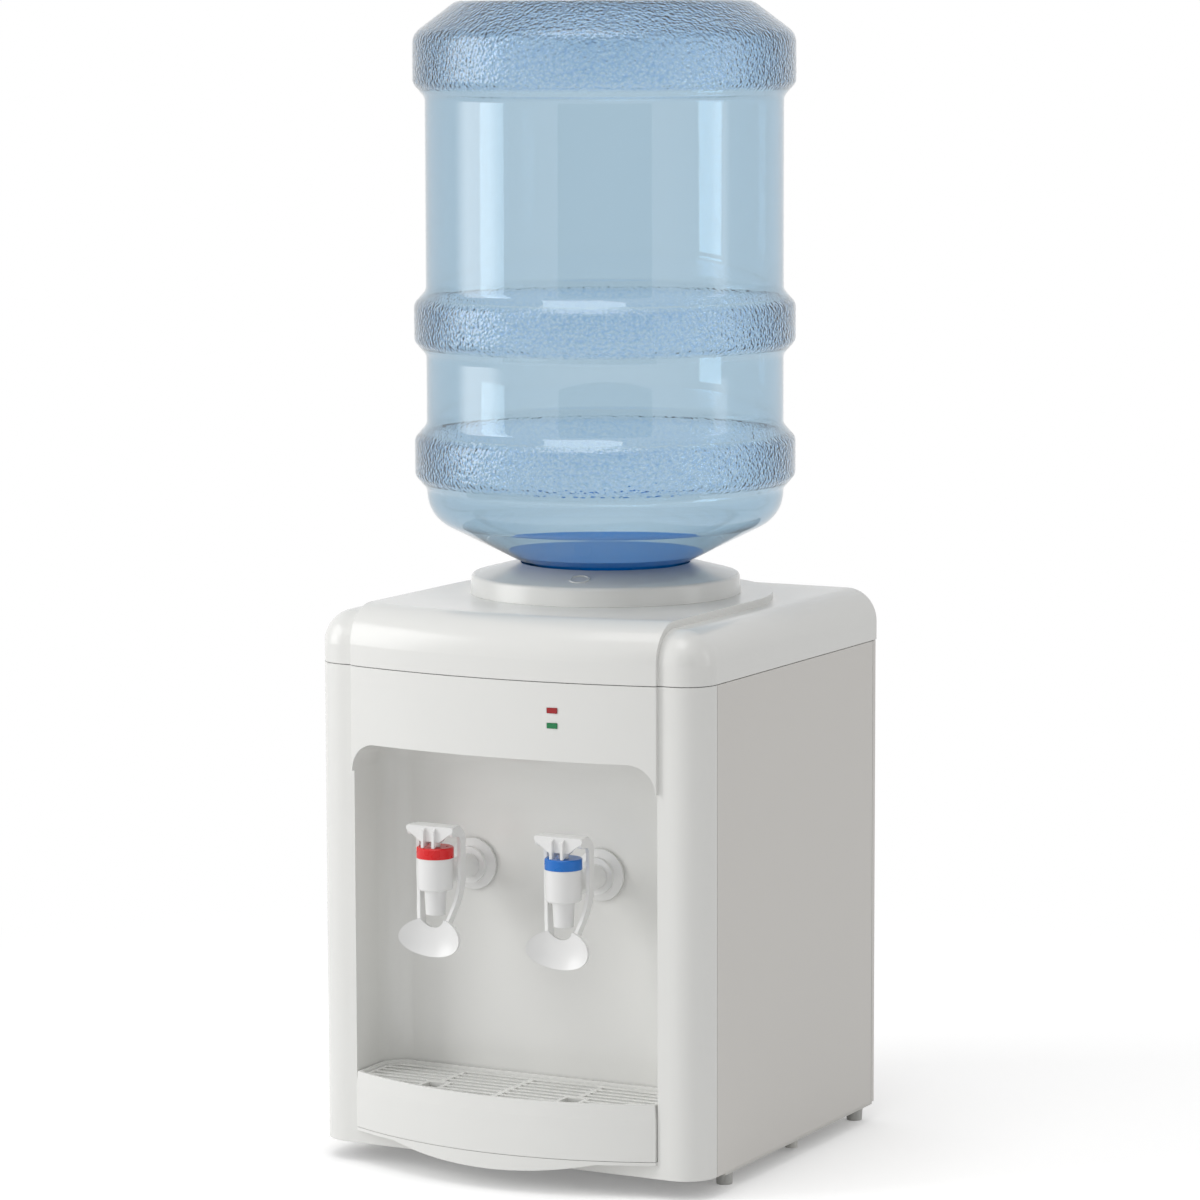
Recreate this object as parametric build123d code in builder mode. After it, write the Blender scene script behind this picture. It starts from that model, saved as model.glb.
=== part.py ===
"""Countertop water dispenser: cabinet, inverted bottle, two push-lever taps, drip tray and hot tank.

Millimetres, +Z up, front towards -Y, origin on the floor under the middle of the overall box.
"""

import os
from math import cos, radians, sin, sqrt, tan

from build123d import *

os.makedirs("parts", exist_ok=True)

# Cabinet panels
BODY_WIDTH = 304.0
BODY_DEPTH = 285.0
PANEL_HEIGHT = 340.0
WALL = 2.5
CORNER_R = 23.5
CORNER_RETURN = 0.5
SEAM_GAP = 0.5
REAR_RIM = 6.0
REAR_EDGE_R = 2.0

# Base plate and feet
BASE_THICK = 2.5
BASE_INSET = 1.5
BASE_FRONT_SETBACK = 40.0
FOOT_HEIGHT = 11.5
FOOT_R = 6.3
FOOT_TIP_R = 5.6
FOOT_PEG_R = 3.0
FOOT_HEAD_R = 4.2
FOOT_HEAD_H = 1.5
FOOT_INSET_X = 13.0
FRONT_FOOT_SETBACK = 62.0
REAR_FOOT_SETBACK = 7.0
STUD_R = 4.5
STUD_SHORT = 2.5
VENT_LENGTH = 42.0
VENT_WIDTH = 4.0
VENT_PITCH = 9.0
VENT_ROWS = 7

# Lid with its raised centre strip
LID_HEIGHT = 36.5
LID_ROUND = 23.0
STRIP_HALF = 119.3
STRIP_STEP = 5.0
STRIP_PROUD = 3.0
STRIP_BOW = 15.0
STRIP_ROUND = 27.0
LID_HOLE_R = 66.0

# Front recess, fascia and ledge
FASCIA_HEIGHT = 54.0
RECESS_HALF = 118.6
RECESS_DEPTH = 49.0
RECESS_TOP_R = 20.0
RECESS_BACK_R = 18.0
LEDGE_RAISE = 9.5
TOE_INNER_X = 92.0
TOE_INNER_R = 20.0
APRON_HALF = 80.0
APRON_CLEAR = 1.0
LATCH_X = 60.0
LATCH_WIDTH = 14.0
LATCH_DEPTH = 10.0

# Drip tray and its grille
TRAY_PROUD = 29.0
TRAY_END_PROUD = 2.0
TRAY_HEIGHT = 39.7
TRAY_CLEAR = 0.6
TRAY_LIFT = 0.3
TRAY_WALL = 2.5
TRAY_BAND = 11.0
TRAY_BAND_TAPER = 4.0
TRAY_STEP = 3.0
GRILLE_THICK = 3.0
GRILLE_DROP = 2.5
GRILLE_CLEAR = 0.4
GRILLE_BORDER = 7.0
SLOT_WIDTH = 4.6
SLOT_PITCH = 8.6
SLOT_ROWS = 7
RIB_WIDTH = 4.0
RIB_X = 54.5
FINGER_HOLE = 13.0
FINGER_BORDER = 3.0
FINGER_SETBACK = 53.0

# Bottle seat collar
COLLAR_R = 96.6
COLLAR_DRAFT = 1.2
COLLAR_WALL_H = 13.0
COLLAR_HEIGHT = 22.0
COLLAR_WALL = 3.0
COLLAR_SKIRT_DROP = 12.0
COLLAR_EDGE_R = 3.0
COLLAR_RING_R = 7.5
COLLAR_RING_INNER_R = 5.8
COLLAR_RING_RISE = 0.5
COLLAR_RING_TURN = 14.0

# Bottle, heights counted up from the circle where its cone rests on the collar
AXIS_FROM_REAR = 132.0
BOTTLE_SEAT_R = 60.0
BOTTLE_SEAT_GAP = 0.3
BOTTLE_WALL = 1.6
BOTTLE_SLOPE = 26.6
BOTTLE_WAIST_R = 126.5
BOTTLE_BAND_R = 135.0
BOTTLE_BAND_SLANT = 10.0
BOTTLE_BAND_ROUND = 7.0
BOTTLE_SHOULDER_R = 26.0
BOTTLE_HEIGHT = 395.5
LOWER_BAND_Z = 62.0
MIDDLE_BAND_Z = 157.0
BAND_HEIGHT = 26.0
TOP_BAND_Z = 338.0
TOP_BAND_HEIGHT = 34.0
TOP_FLAT_R = 104.0
TOP_ROUND = 13.0
PUNT_R = 80.0
PUNT_FLOOR_R = 66.0
PUNT_DEPTH = 10.5
PUNT_ROUND = 6.0
NECK_R = 27.5
NECK_LENGTH = 54.0
NECK_ROUND = 5.0
NECK_LIP = 2.0
NECK_LIP_H = 6.0

# Reservoir, its shelf, seal and baffle
SHELF_Z = 250.0
SHELF_THICK = 2.5
SHELF_CLEAR = 0.5
RAIL_WIDTH = 8.0
RAIL_THICK = 3.0
RESERVOIR_R = 92.0
RESERVOIR_WALL = 2.5
RESERVOIR_FLANGE = 5.0
RESERVOIR_FLANGE_H = 3.0
RESERVOIR_ROUND = 8.0
SEAL_THICK = 2.5
BAFFLE_R = 84.0
BAFFLE_THICK = 2.5
BAFFLE_LEG_H = 42.0
BAFFLE_LEG_R = 4.0
BAFFLE_TUBE_R = 14.0
BAFFLE_TUBE_H = 24.0
BAFFLE_HOLE_R = 5.0
BAFFLE_HOLE_PCD_R = 60.0
BAFFLE_HOLES = 8

# Hot tank, band heater, jacket and stand
TANK_BACK = 26.0
TANK_R = 50.0
TANK_WALL = 1.5
TANK_Z = 60.0
TANK_HEIGHT = 120.0
TANK_ROUND = 9.0
HEATER_THICK = 2.5
HEATER_HEIGHT = 44.0
HEATER_RAISE = 22.0
HEATER_SLIT = 5.0
HEATER_EAR = 6.0
SKIN_CLEAR = 0.2
JACKET_THICK = 11.0
JACKET_SPLIT = 0.4
JACKET_INSET = 1.0
THERMOSTAT_R = 8.0
THERMOSTAT_LENGTH = 6.0
THERMOSTAT_NECK_R = 5.0
THERMOSTAT_WINDOW = 22.0
CONTROL_RAISE = 84.0
CUTOUT_RAISE = 108.0
BLADE_LENGTH = 8.0
BLADE_WIDTH = 4.8
BLADE_THICK = 0.8
BLADE_GAP = 7.0
STAND_HALF = 47.0
STAND_THICK = 2.0
STAND_DEPTH = 50.0
STAND_FOOT = 12.0

# Hoses and the spigots they push onto
HOSE_R = 6.0
SPIGOT_R = 4.0
SPIGOT_BORE_R = 2.6
SPIGOT_LENGTH = 9.0
HOSE_FIT = 0.1
HOSE_SHORT = 3.0
HOSE_BEND = 18.0
HOSE_PASS_CLEAR = 1.5
FEED_X = 20.0
OUTLET_X = -20.0
OUTLET_Y_SHIFT = -20.0
VENT_Y_SHIFT = 30.0
VENT_DROP = 18.0
VENT_REACH = 27.0
VENT_RISE = 34.0
DRAIN_Y_SHIFT = 20.0
COLD_FEED_SHARE = 0.55

# Drain outlet at the back
DRAIN_X = 60.0
DRAIN_Z = 32.0
DRAIN_R = 7.0
DRAIN_FLANGE_R = 10.0
DRAIN_FLANGE_T = 3.0
DRAIN_NOSE = 7.0
DRAIN_CAP_LENGTH = 12.0
DRAIN_CAP_R = 10.0
DRAIN_CAP_END = 3.0
DRAIN_CAP_CLEAR = 0.1
CAP_FLATS = 12
CAP_FLAT_R = 1.2

# Taps
TAP_X = 50.3
TAP_PROUD = 7.0
STEM_Z = 212.0
TAP_BODY_R = 12.75
TAP_BODY_LOW_R = 12.3
TAP_BODY_H = 22.6
TAP_BODY_ROUND = 1.6
SPOUT_R = 7.75
SPOUT_TIP_R = 6.9
SPOUT_LENGTH = 17.4
SPOUT_BORE_R = 5.4
CHAMBER_R = 10.4
SEAT_THICK = 2.5
SEAT_HOLE_R = 4.5
BODY_ABOVE_STEM = 13.0
STEM_R = 8.5
FLANGE_R = 18.3
FLANGE_NECK_R = 13.0
FLANGE_NECK_LENGTH = 3.0
FLANGE_LENGTH = 8.0
FLANGE_EDGE = 2.0
THREAD_R = 9.0
THREAD_LENGTH = 15.0
THREAD_CLEAR = 0.4
GASKET_THICK = 1.0
GASKET_R = 17.6
NUT_THICK = 7.0
NUT_FLATS_R = 13.0
NUT_CLEAR = 0.1

# Tap bonnet, plunger and lever
BONNET_R = 13.0
BONNET_H = 7.5
BONNET_EDGE = 0.7
BONNET_SKIRT_H = 6.0
BONNET_SKIRT_WALL = 2.2
BONNET_FIT = 0.1
BONNET_ROOF = 3.5
PLUNGER_R = 3.6
PLUNGER_FIT = 0.1
PLUNGER_DISC_R = 7.6
PLUNGER_DISC_T = 2.0
VALVE_R = 8.6
VALVE_H = 5.0
VALVE_LIP = 1.4
VALVE_GAP = 0.15
SPRING_R = 5.6
SPRING_WIRE_R = 0.7
PIN_R = 1.5
PIN_FIT = 0.05
PIN_ABOVE_BONNET = 7.8
TONGUE_WIDTH = 6.0
FIN_THICK = 2.0
FIN_CLEAR = 0.15
HEEL_REACH = 11.0
HEEL_GAP = 0.3
FIN_BACK = 4.0
LEVER_TOP = 7.6
WING_HALF = 18.4
WING_BACK = 6.0
WING_THICK = 2.0
WING_TIP = 3.2
WING_DEPTH = 11.0
WING_ROOT_HALF = 7.5
ARM_HALF = 16.4
ARM_LOW_HALF = 8.0
ARM_THICK = 2.6
ARM_WIDTH = 7.2
TOP_WEB = 2.0
TOP_WEB_BACK = 5.0
WING_TIP_R = 1.4
ARM_BACK = 8.0
ARM_BEND_R = 8.5
ARM_SWEEP_R = 55.0
WISHBONE_R = 110.0
ARM_KNEE_DROP = 40.0
PADDLE_WIDTH = 48.0
PADDLE_HEIGHT = 28.0
PADDLE_DROP = 71.0
PADDLE_FORWARD = 2.0
PADDLE_THICK = 2.2
PADDLE_DISH_R = 40.0
NOTCH_HALF = 9.8
NOTCH_DEPTH = 7.4

# Indicator lamps and their board
LAMP_X = 46.5
LAMP_WIDTH = 7.7
LAMP_HEIGHT = 3.7
LAMP_UPPER_DROP = 19.0
LAMP_PITCH = 10.4
LAMP_LENGTH = 9.0
LAMP_PROUD = 0.3
LAMP_CLEAR = 0.1
BOARD_WIDTH = 36.0
BOARD_HEIGHT = 28.0
BOARD_THICK = 1.6
BOARD_POST_R = 2.5
BOARD_POST_X = 13.0

# Rear switch, cord gland, terminal block and screws
SWITCH_FROM_SIDE = 62.0
SWITCH_FROM_TOP = 64.0
SWITCH_WIDTH = 21.0
SWITCH_HEIGHT = 30.0
SWITCH_BEZEL = 2.0
SWITCH_BEZEL_T = 2.0
SWITCH_BODY = 20.0
SWITCH_CLEAR = 0.2
ROCKER_WIDTH = 13.0
ROCKER_HEIGHT = 24.0
ROCKER_CLEAR = 0.8
ROCKER_DEPTH = 9.0
ROCKER_SWING = 16.0
ROCKER_BELLY = 3.5
AXLE_R = 1.5
AXLE_STUB = 2.0
AXLE_FIT = 0.08
GLAND_FROM_SIDE = 52.0
GLAND_Z = 45.0
GLAND_R = 6.5
GLAND_FLANGE_R = 9.5
GLAND_FLANGE_T = 3.0
GLAND_TAIL = 5.0
GLAND_BORE_R = 3.8
GLAND_CLEAR = 0.1
BLOCK_WIDTH = 42.0
BLOCK_DEPTH = 18.0
BLOCK_HEIGHT = 15.0
BLOCK_WAYS = 3
BLOCK_WAY_R = 3.2
BLOCK_WAY_DEPTH = 9.0
BLOCK_FROM_REAR = 45.0
SCREW_HEAD_R = 3.4
SCREW_HEAD_H = 1.8
SCREW_R = 1.6
SCREW_LENGTH = 11.0
SCREW_FIT = 0.1
BOSS_R = 4.5
BOSS_LENGTH = 12.0
BOSS_END_INSET = 26.0
LOUVRE_LENGTH = 60.0
LOUVRE_WIDTH = 4.0
LOUVRE_PITCH = 10.0
LOUVRE_ROWS = 8
LOUVRE_X = 85.0
LOUVRE_Z = 150.0

# Places that follow from the sizes above
TOTAL_DEPTH = TRAY_PROUD + BODY_DEPTH + DRAIN_CAP_LENGTH
FRONT_Y = TRAY_PROUD - TOTAL_DEPTH / 2
REAR_Y = FRONT_Y + BODY_DEPTH
HALF_WIDTH = BODY_WIDTH / 2
INNER_HALF = HALF_WIDTH - WALL
REAR_INNER_Y = REAR_Y - WALL
WRAP_Y = FRONT_Y + CORNER_R + CORNER_RETURN
AXIS_Y = REAR_Y - AXIS_FROM_REAR
PANEL_BOTTOM = FOOT_HEIGHT + BASE_THICK
SEAM_Z = PANEL_BOTTOM + PANEL_HEIGHT
LID_BOTTOM = SEAM_Z + SEAM_GAP
LOBE_TOP = LID_BOTTOM + LID_HEIGHT
STRIP_TOP = LOBE_TOP + STRIP_STEP
STRIP_UNDER = STRIP_TOP - WALL
LEDGE_BOTTOM = PANEL_BOTTOM + LEDGE_RAISE
LEDGE_TOP = LEDGE_BOTTOM + WALL
RECESS_TOP = SEAM_Z - FASCIA_HEIGHT
RECESS_BACK = FRONT_Y + RECESS_DEPTH
RECESS_INNER = RECESS_BACK + WALL
TRAY_HALF = RECESS_HALF - TRAY_CLEAR
TRAY_BACK = RECESS_BACK - TRAY_CLEAR
TRAY_END_Y = FRONT_Y - TRAY_END_PROUD
TRAY_MID_Y = FRONT_Y - TRAY_PROUD
TRAY_BOTTOM = LEDGE_TOP + TRAY_LIFT
TRAY_TOP = TRAY_BOTTOM + TRAY_HEIGHT
TRAY_CORNER_R = RECESS_BACK_R - TRAY_CLEAR
GRILLE_TOP = TRAY_TOP - GRILLE_DROP
GRILLE_BOTTOM = GRILLE_TOP - GRILLE_THICK
SHELF_TOP = SHELF_Z + SHELF_THICK
RESERVOIR_TOP = STRIP_UNDER - SEAL_THICK
COLLAR_TOP = STRIP_TOP + COLLAR_HEIGHT
BOTTLE_SEAT_Z = COLLAR_TOP + BOTTLE_SEAT_GAP
TANK_Y = AXIS_Y + TANK_BACK
TANK_TOP = TANK_Z + TANK_HEIGHT
JACKET_INNER_R = TANK_R + SKIN_CLEAR + HEATER_THICK + SKIN_CLEAR
JACKET_R = JACKET_INNER_R + JACKET_THICK
TAP_Y = FRONT_Y - TAP_PROUD
TAP_BODY_TOP = STEM_Z + BODY_ABOVE_STEM
TAP_BODY_BOTTOM = TAP_BODY_TOP - TAP_BODY_H
CHAMBER_FLOOR = TAP_BODY_BOTTOM + SEAT_THICK
SPOUT_BOTTOM = TAP_BODY_BOTTOM - SPOUT_LENGTH
BONNET_TOP = TAP_BODY_TOP + BONNET_H
PIN_Z = BONNET_TOP + PIN_ABOVE_BONNET
VALVE_BOTTOM = CHAMBER_FLOOR + VALVE_GAP
DISC_BOTTOM = VALVE_BOTTOM + VALVE_H
DISC_TOP = DISC_BOTTOM + PLUNGER_DISC_T
SPRING_TOP = BONNET_TOP - BONNET_ROOF
FLANGE_BACK = RECESS_BACK - GASKET_THICK
FLANGE_FRONT = FLANGE_BACK - FLANGE_LENGTH
THREAD_END = RECESS_INNER + THREAD_LENGTH
VENT_Z = RESERVOIR_TOP - VENT_DROP
COLD_FEED_Y = RECESS_INNER + COLD_FEED_SHARE * (AXIS_Y - RECESS_INNER)
OUTLET_Y = TANK_Y + OUTLET_Y_SHIFT
VENT_Y = TANK_Y + VENT_Y_SHIFT
VENT_RUN_Y = AXIS_Y + RESERVOIR_R + VENT_REACH
DRAIN_FEED_Y = TANK_Y + DRAIN_Y_SHIFT
BLOCK_Y = REAR_Y - BLOCK_FROM_REAR
SWITCH_X = SWITCH_FROM_SIDE - HALF_WIDTH
SWITCH_Z = SEAM_Z - SWITCH_FROM_TOP
GLAND_X = HALF_WIDTH - GLAND_FROM_SIDE
BOSS_X = INNER_HALF - BOSS_R
BOSS_HEIGHTS = (PANEL_BOTTOM + BOSS_END_INSET, (PANEL_BOTTOM + SEAM_Z) / 2, SEAM_Z - BOSS_END_INSET)


def save(builder, name):
    """Label a finished piece and write it as one STEP file."""
    builder.part.label = name
    export_step(builder.part, f"parts/{name}.step")


def facing(y):
    """Upright plane at a depth, with X across and Z up; extruding from it goes towards the front."""
    return Plane.XZ.offset(-y)


def upright(x, y):
    """Plane of a turned profile whose axis is vertical at a point of the plan."""
    return Plane(origin=(x, y, 0), x_dir=(1, 0, 0), z_dir=(0, -1, 0))


def vertical(x, y):
    """Vertical axis through a point of the plan."""
    return Axis((x, y, 0), (0, 0, 1))


def cabinet_plan(inset, back_y):
    """Plan of the cabinet front: rounded front corners, square at the back."""
    half = HALF_WIDTH - inset
    front = FRONT_Y + inset
    with BuildSketch() as plan:
        with BuildLine():
            FilletPolyline(
                (half, back_y), (half, front), (-half, front), (-half, back_y), radius=CORNER_R - inset
            )
            Line((-half, back_y), (half, back_y))
        make_face()
    return plan.sketch


def bowed_plan(half, back_y, end_y, middle_y):
    """Plan with a straight back and sides and a bowed front."""
    with BuildSketch() as plan:
        with BuildLine():
            ThreePointArc((-half, end_y), (0, middle_y), (half, end_y))
            Polyline((half, end_y), (half, back_y), (-half, back_y), (-half, end_y))
        make_face()
    return plan.sketch


def fascia_plan(inset, back_y):
    """Bowed plan shared by the lid strip and the fascia under it."""
    end_y = FRONT_Y - STRIP_PROUD + inset
    return bowed_plan(STRIP_HALF - inset, back_y, end_y, end_y - STRIP_BOW)


def fascia_front(x):
    """Depth of the bowed fascia's face at a distance from its middle."""
    radius = (STRIP_HALF**2 + STRIP_BOW**2) / (2 * STRIP_BOW)
    middle = FRONT_Y - STRIP_PROUD - STRIP_BOW
    return middle + radius - sqrt(radius**2 - x**2)


def tray_plan(inset):
    """Plan of the drip tray: bowed front, rounded rear corners."""
    half = TRAY_HALF - inset
    with BuildSketch() as plan:
        add(bowed_plan(half, TRAY_BACK - inset, TRAY_END_Y + inset, TRAY_MID_Y + inset))
        fillet(plan.vertices().group_by(Axis.Y)[-1], TRAY_CORNER_R - inset)
    return plan.sketch


def lid_form(inset):
    """Solid form of the lid, or of the space inside it when inset by the wall."""
    with BuildPart() as strip:
        with BuildSketch(Plane.XY.offset(LID_BOTTOM)):
            add(fascia_plan(inset, AXIS_Y))
            with Locations((0, AXIS_Y)):
                Circle(STRIP_HALF - inset)
        extrude(amount=STRIP_TOP - inset - LID_BOTTOM)
        top_edges = strip.edges().group_by(Axis.Z)[-1]
        fillet(top_edges.sort_by(Axis.Y)[0], STRIP_ROUND - inset)
    with BuildPart() as lid:
        with BuildSketch(Plane.XY.offset(LID_BOTTOM)):
            add(cabinet_plan(inset, REAR_Y - inset))
        extrude(amount=LOBE_TOP - inset - LID_BOTTOM)
        rim = lid.edges().group_by(Axis.Z)[-1]
        fillet(rim.sort_by(Axis.Y)[:-1], LID_ROUND - inset)
        add(strip.part)
    return lid.part


def recess_form(grow):
    """Hollow above the tray with soft upper corners and back edges, grown for its outer wall."""
    half = RECESS_HALF + grow
    low = LEDGE_TOP - grow
    high = RECESS_TOP + grow
    back = RECESS_BACK + grow
    with BuildPart() as hollow:
        with BuildSketch(facing(back)):
            with BuildLine():
                FilletPolyline(
                    (-half, low), (-half, high), (half, high), (half, low), radius=RECESS_TOP_R + grow
                )
                Line((half, low), (-half, low))
            make_face()
        extrude(amount=back - TRAY_MID_Y + WALL)
        rear = hollow.faces().sort_by(Axis.Y)[-1]
        floor_edge = rear.edges().sort_by(Axis.Z)[0]
        fillet([edge for edge in rear.edges() if edge != floor_edge], RECESS_BACK_R + grow)
    return hollow.part


def hose(path, name):
    """Silicone hose of one bore along straight runs and tangent bends."""
    with BuildPart() as tube:
        with BuildSketch(Plane(origin=path @ 0, z_dir=path % 0)):
            Circle(HOSE_R)
            Circle(SPIGOT_R + HOSE_FIT, mode=Mode.SUBTRACT)
        sweep(path=path)
    save(tube, name)


# Lid: one moulding, hollow underneath, open where the bottle neck goes through
LID_SOLID = lid_form(0)
LID_SPACE = lid_form(WALL)
with BuildPart() as top_cover:
    add(LID_SOLID)
    add(LID_SPACE, mode=Mode.SUBTRACT)
    with BuildSketch(Plane.XY.offset(STRIP_TOP)):
        with Locations((0, AXIS_Y)):
            Circle(LID_HOLE_R)
    extrude(amount=-LID_HEIGHT, mode=Mode.SUBTRACT)
save(top_cover, "top_cover")

# Front panel: columns, bowed fascia, recess, ledge, toes and apron in one moulding
RECESS_SPACE = recess_form(0)
RECESS_SHELL = recess_form(WALL)
with BuildPart() as recess_wall:
    with BuildSketch(Plane.XY.offset(PANEL_BOTTOM)):
        add(cabinet_plan(0, RECESS_INNER))
    extrude(amount=PANEL_HEIGHT)
    with BuildSketch(Plane.XY.offset(RECESS_TOP - RECESS_TOP_R)):
        add(fascia_plan(0, RECESS_INNER))
    extrude(amount=FASCIA_HEIGHT + RECESS_TOP_R)
    add(RECESS_SHELL, mode=Mode.INTERSECT)

with BuildPart() as apron:
    with BuildSketch(Plane.XY.offset(PANEL_BOTTOM)):
        add(bowed_plan(TRAY_HALF, TRAY_BACK, TRAY_END_Y, TRAY_MID_Y))
        add(
            bowed_plan(TRAY_HALF - WALL, TRAY_BACK, TRAY_END_Y + WALL, TRAY_MID_Y + WALL),
            mode=Mode.SUBTRACT,
        )
    extrude(amount=LEDGE_RAISE)
    with BuildSketch(facing(FRONT_Y)):
        with BuildLine():
            ThreePointArc(
                (-APRON_HALF, LEDGE_BOTTOM), (0, PANEL_BOTTOM + APRON_CLEAR), (APRON_HALF, LEDGE_BOTTOM)
            )
            Line((APRON_HALF, LEDGE_BOTTOM), (-APRON_HALF, LEDGE_BOTTOM))
        make_face()
    extrude(amount=TRAY_PROUD, mode=Mode.INTERSECT)


def toe_plan(side, inset):
    """Plan of one front toe under the ledge, rounded at both front corners."""
    inner = side * (TOE_INNER_X + inset)
    outer = side * (HALF_WIDTH - inset)
    front = FRONT_Y + inset
    with BuildSketch() as plan:
        with BuildLine():
            FilletPolyline(
                (inner, WRAP_Y),
                (inner, front),
                (outer, front),
                (outer, WRAP_Y),
                radius=[TOE_INNER_R - inset, CORNER_R - inset],
            )
            Line((outer, WRAP_Y), (inner, WRAP_Y))
        make_face()
    return plan.sketch


with BuildPart() as front_panel:
    # Column shell, opened behind the fascia and under the ledge
    with BuildSketch(Plane.XY.offset(PANEL_BOTTOM)):
        add(cabinet_plan(0, WRAP_Y))
        add(cabinet_plan(WALL, WRAP_Y), mode=Mode.SUBTRACT)
    extrude(amount=PANEL_HEIGHT)
    with BuildSketch(facing(WRAP_Y)):
        with Locations((0, SEAM_Z)):
            Rectangle(2 * (STRIP_HALF - WALL), FASCIA_HEIGHT, align=(Align.CENTER, Align.MAX))
        with Locations((0, PANEL_BOTTOM)):
            Rectangle(2 * RECESS_HALF, LEDGE_RAISE, align=(Align.CENTER, Align.MIN))
    extrude(amount=CORNER_R, mode=Mode.SUBTRACT)
    # Bowed fascia
    with BuildSketch(Plane.XY.offset(RECESS_TOP - RECESS_TOP_R)):
        add(fascia_plan(0, FRONT_Y + WALL))
        add(fascia_plan(WALL, FRONT_Y + WALL), mode=Mode.SUBTRACT)
    extrude(amount=FASCIA_HEIGHT + RECESS_TOP_R)
    # Recess walls and ledge
    add(recess_wall.part)
    with BuildSketch(Plane.XY.offset(LEDGE_BOTTOM)):
        add(bowed_plan(TRAY_HALF, RECESS_BACK, TRAY_END_Y, TRAY_MID_Y))
    extrude(amount=WALL)
    add(RECESS_SPACE, mode=Mode.SUBTRACT)
    # Apron, toes and the two latches that stand on the base plate
    add(apron.part)
    for side in (-1, 1):
        with BuildSketch(Plane.XY.offset(PANEL_BOTTOM)):
            add(toe_plan(side, 0))
            add(toe_plan(side, WALL), mode=Mode.SUBTRACT)
        extrude(amount=LEDGE_RAISE)
    with BuildSketch(Plane.XY.offset(PANEL_BOTTOM)):
        with Locations((-LATCH_X, RECESS_INNER), (LATCH_X, RECESS_INNER)):
            Rectangle(LATCH_WIDTH, LATCH_DEPTH, align=(Align.CENTER, Align.MAX))
    extrude(amount=LEDGE_RAISE)
    # Tap holes and lamp windows
    with BuildSketch(facing(RECESS_INNER)):
        with Locations((-TAP_X, STEM_Z), (TAP_X, STEM_Z)):
            Circle(THREAD_R + THREAD_CLEAR)
    extrude(amount=WALL, mode=Mode.SUBTRACT)
    with BuildSketch(facing(FRONT_Y)):
        for row in range(2):
            with Locations((LAMP_X, SEAM_Z - LAMP_UPPER_DROP - row * LAMP_PITCH)):
                Rectangle(LAMP_WIDTH + 2 * LAMP_CLEAR, LAMP_HEIGHT + 2 * LAMP_CLEAR)
    extrude(amount=TRAY_PROUD, mode=Mode.SUBTRACT)
    # Posts for the lamp board
    for post_x in (LAMP_X - BOARD_POST_X, LAMP_X + BOARD_POST_X):
        post_front = fascia_front(post_x) + WALL / 2
        post_back = fascia_front(LAMP_X) - LAMP_PROUD + LAMP_LENGTH
        with BuildSketch(facing(post_back)):
            with Locations((post_x, SEAM_Z - LAMP_UPPER_DROP - LAMP_PITCH / 2)):
                Circle(BOARD_POST_R)
        extrude(amount=post_back - post_front)
save(front_panel, "front_panel")

# Side panels with a shelf rail and screw bosses inside
for side_name, side in (("left", -1), ("right", 1)):
    with BuildPart() as side_panel:
        side_front = WRAP_Y + SEAM_GAP
        side_back = REAR_Y - REAR_RIM - SEAM_GAP
        with BuildSketch(Plane.XY.offset(PANEL_BOTTOM)):
            with Locations((side * (HALF_WIDTH - WALL / 2), (side_front + side_back) / 2)):
                Rectangle(WALL, side_back - side_front)
        extrude(amount=PANEL_HEIGHT)
        with BuildSketch(Plane.XY.offset(SHELF_Z)):
            with Locations((side * (INNER_HALF - RAIL_WIDTH / 2), (RECESS_INNER + side_back) / 2)):
                Rectangle(RAIL_WIDTH, side_back - RECESS_INNER)
        extrude(amount=-RAIL_THICK)
        with BuildSketch(facing(REAR_INNER_Y)):
            for height in BOSS_HEIGHTS:
                with Locations((side * BOSS_X, height)):
                    Circle(BOSS_R)
                    Rectangle(BOSS_R, 2 * BOSS_R, align=(Align.MIN if side > 0 else Align.MAX, Align.CENTER))
        extrude(amount=BOSS_LENGTH)
        with BuildSketch(facing(REAR_INNER_Y)):
            for height in BOSS_HEIGHTS:
                with Locations((side * BOSS_X, height)):
                    Circle(SCREW_R + SCREW_FIT)
        extrude(amount=BOSS_LENGTH, mode=Mode.SUBTRACT)
    save(side_panel, f"side_panel_{side_name}")

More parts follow.
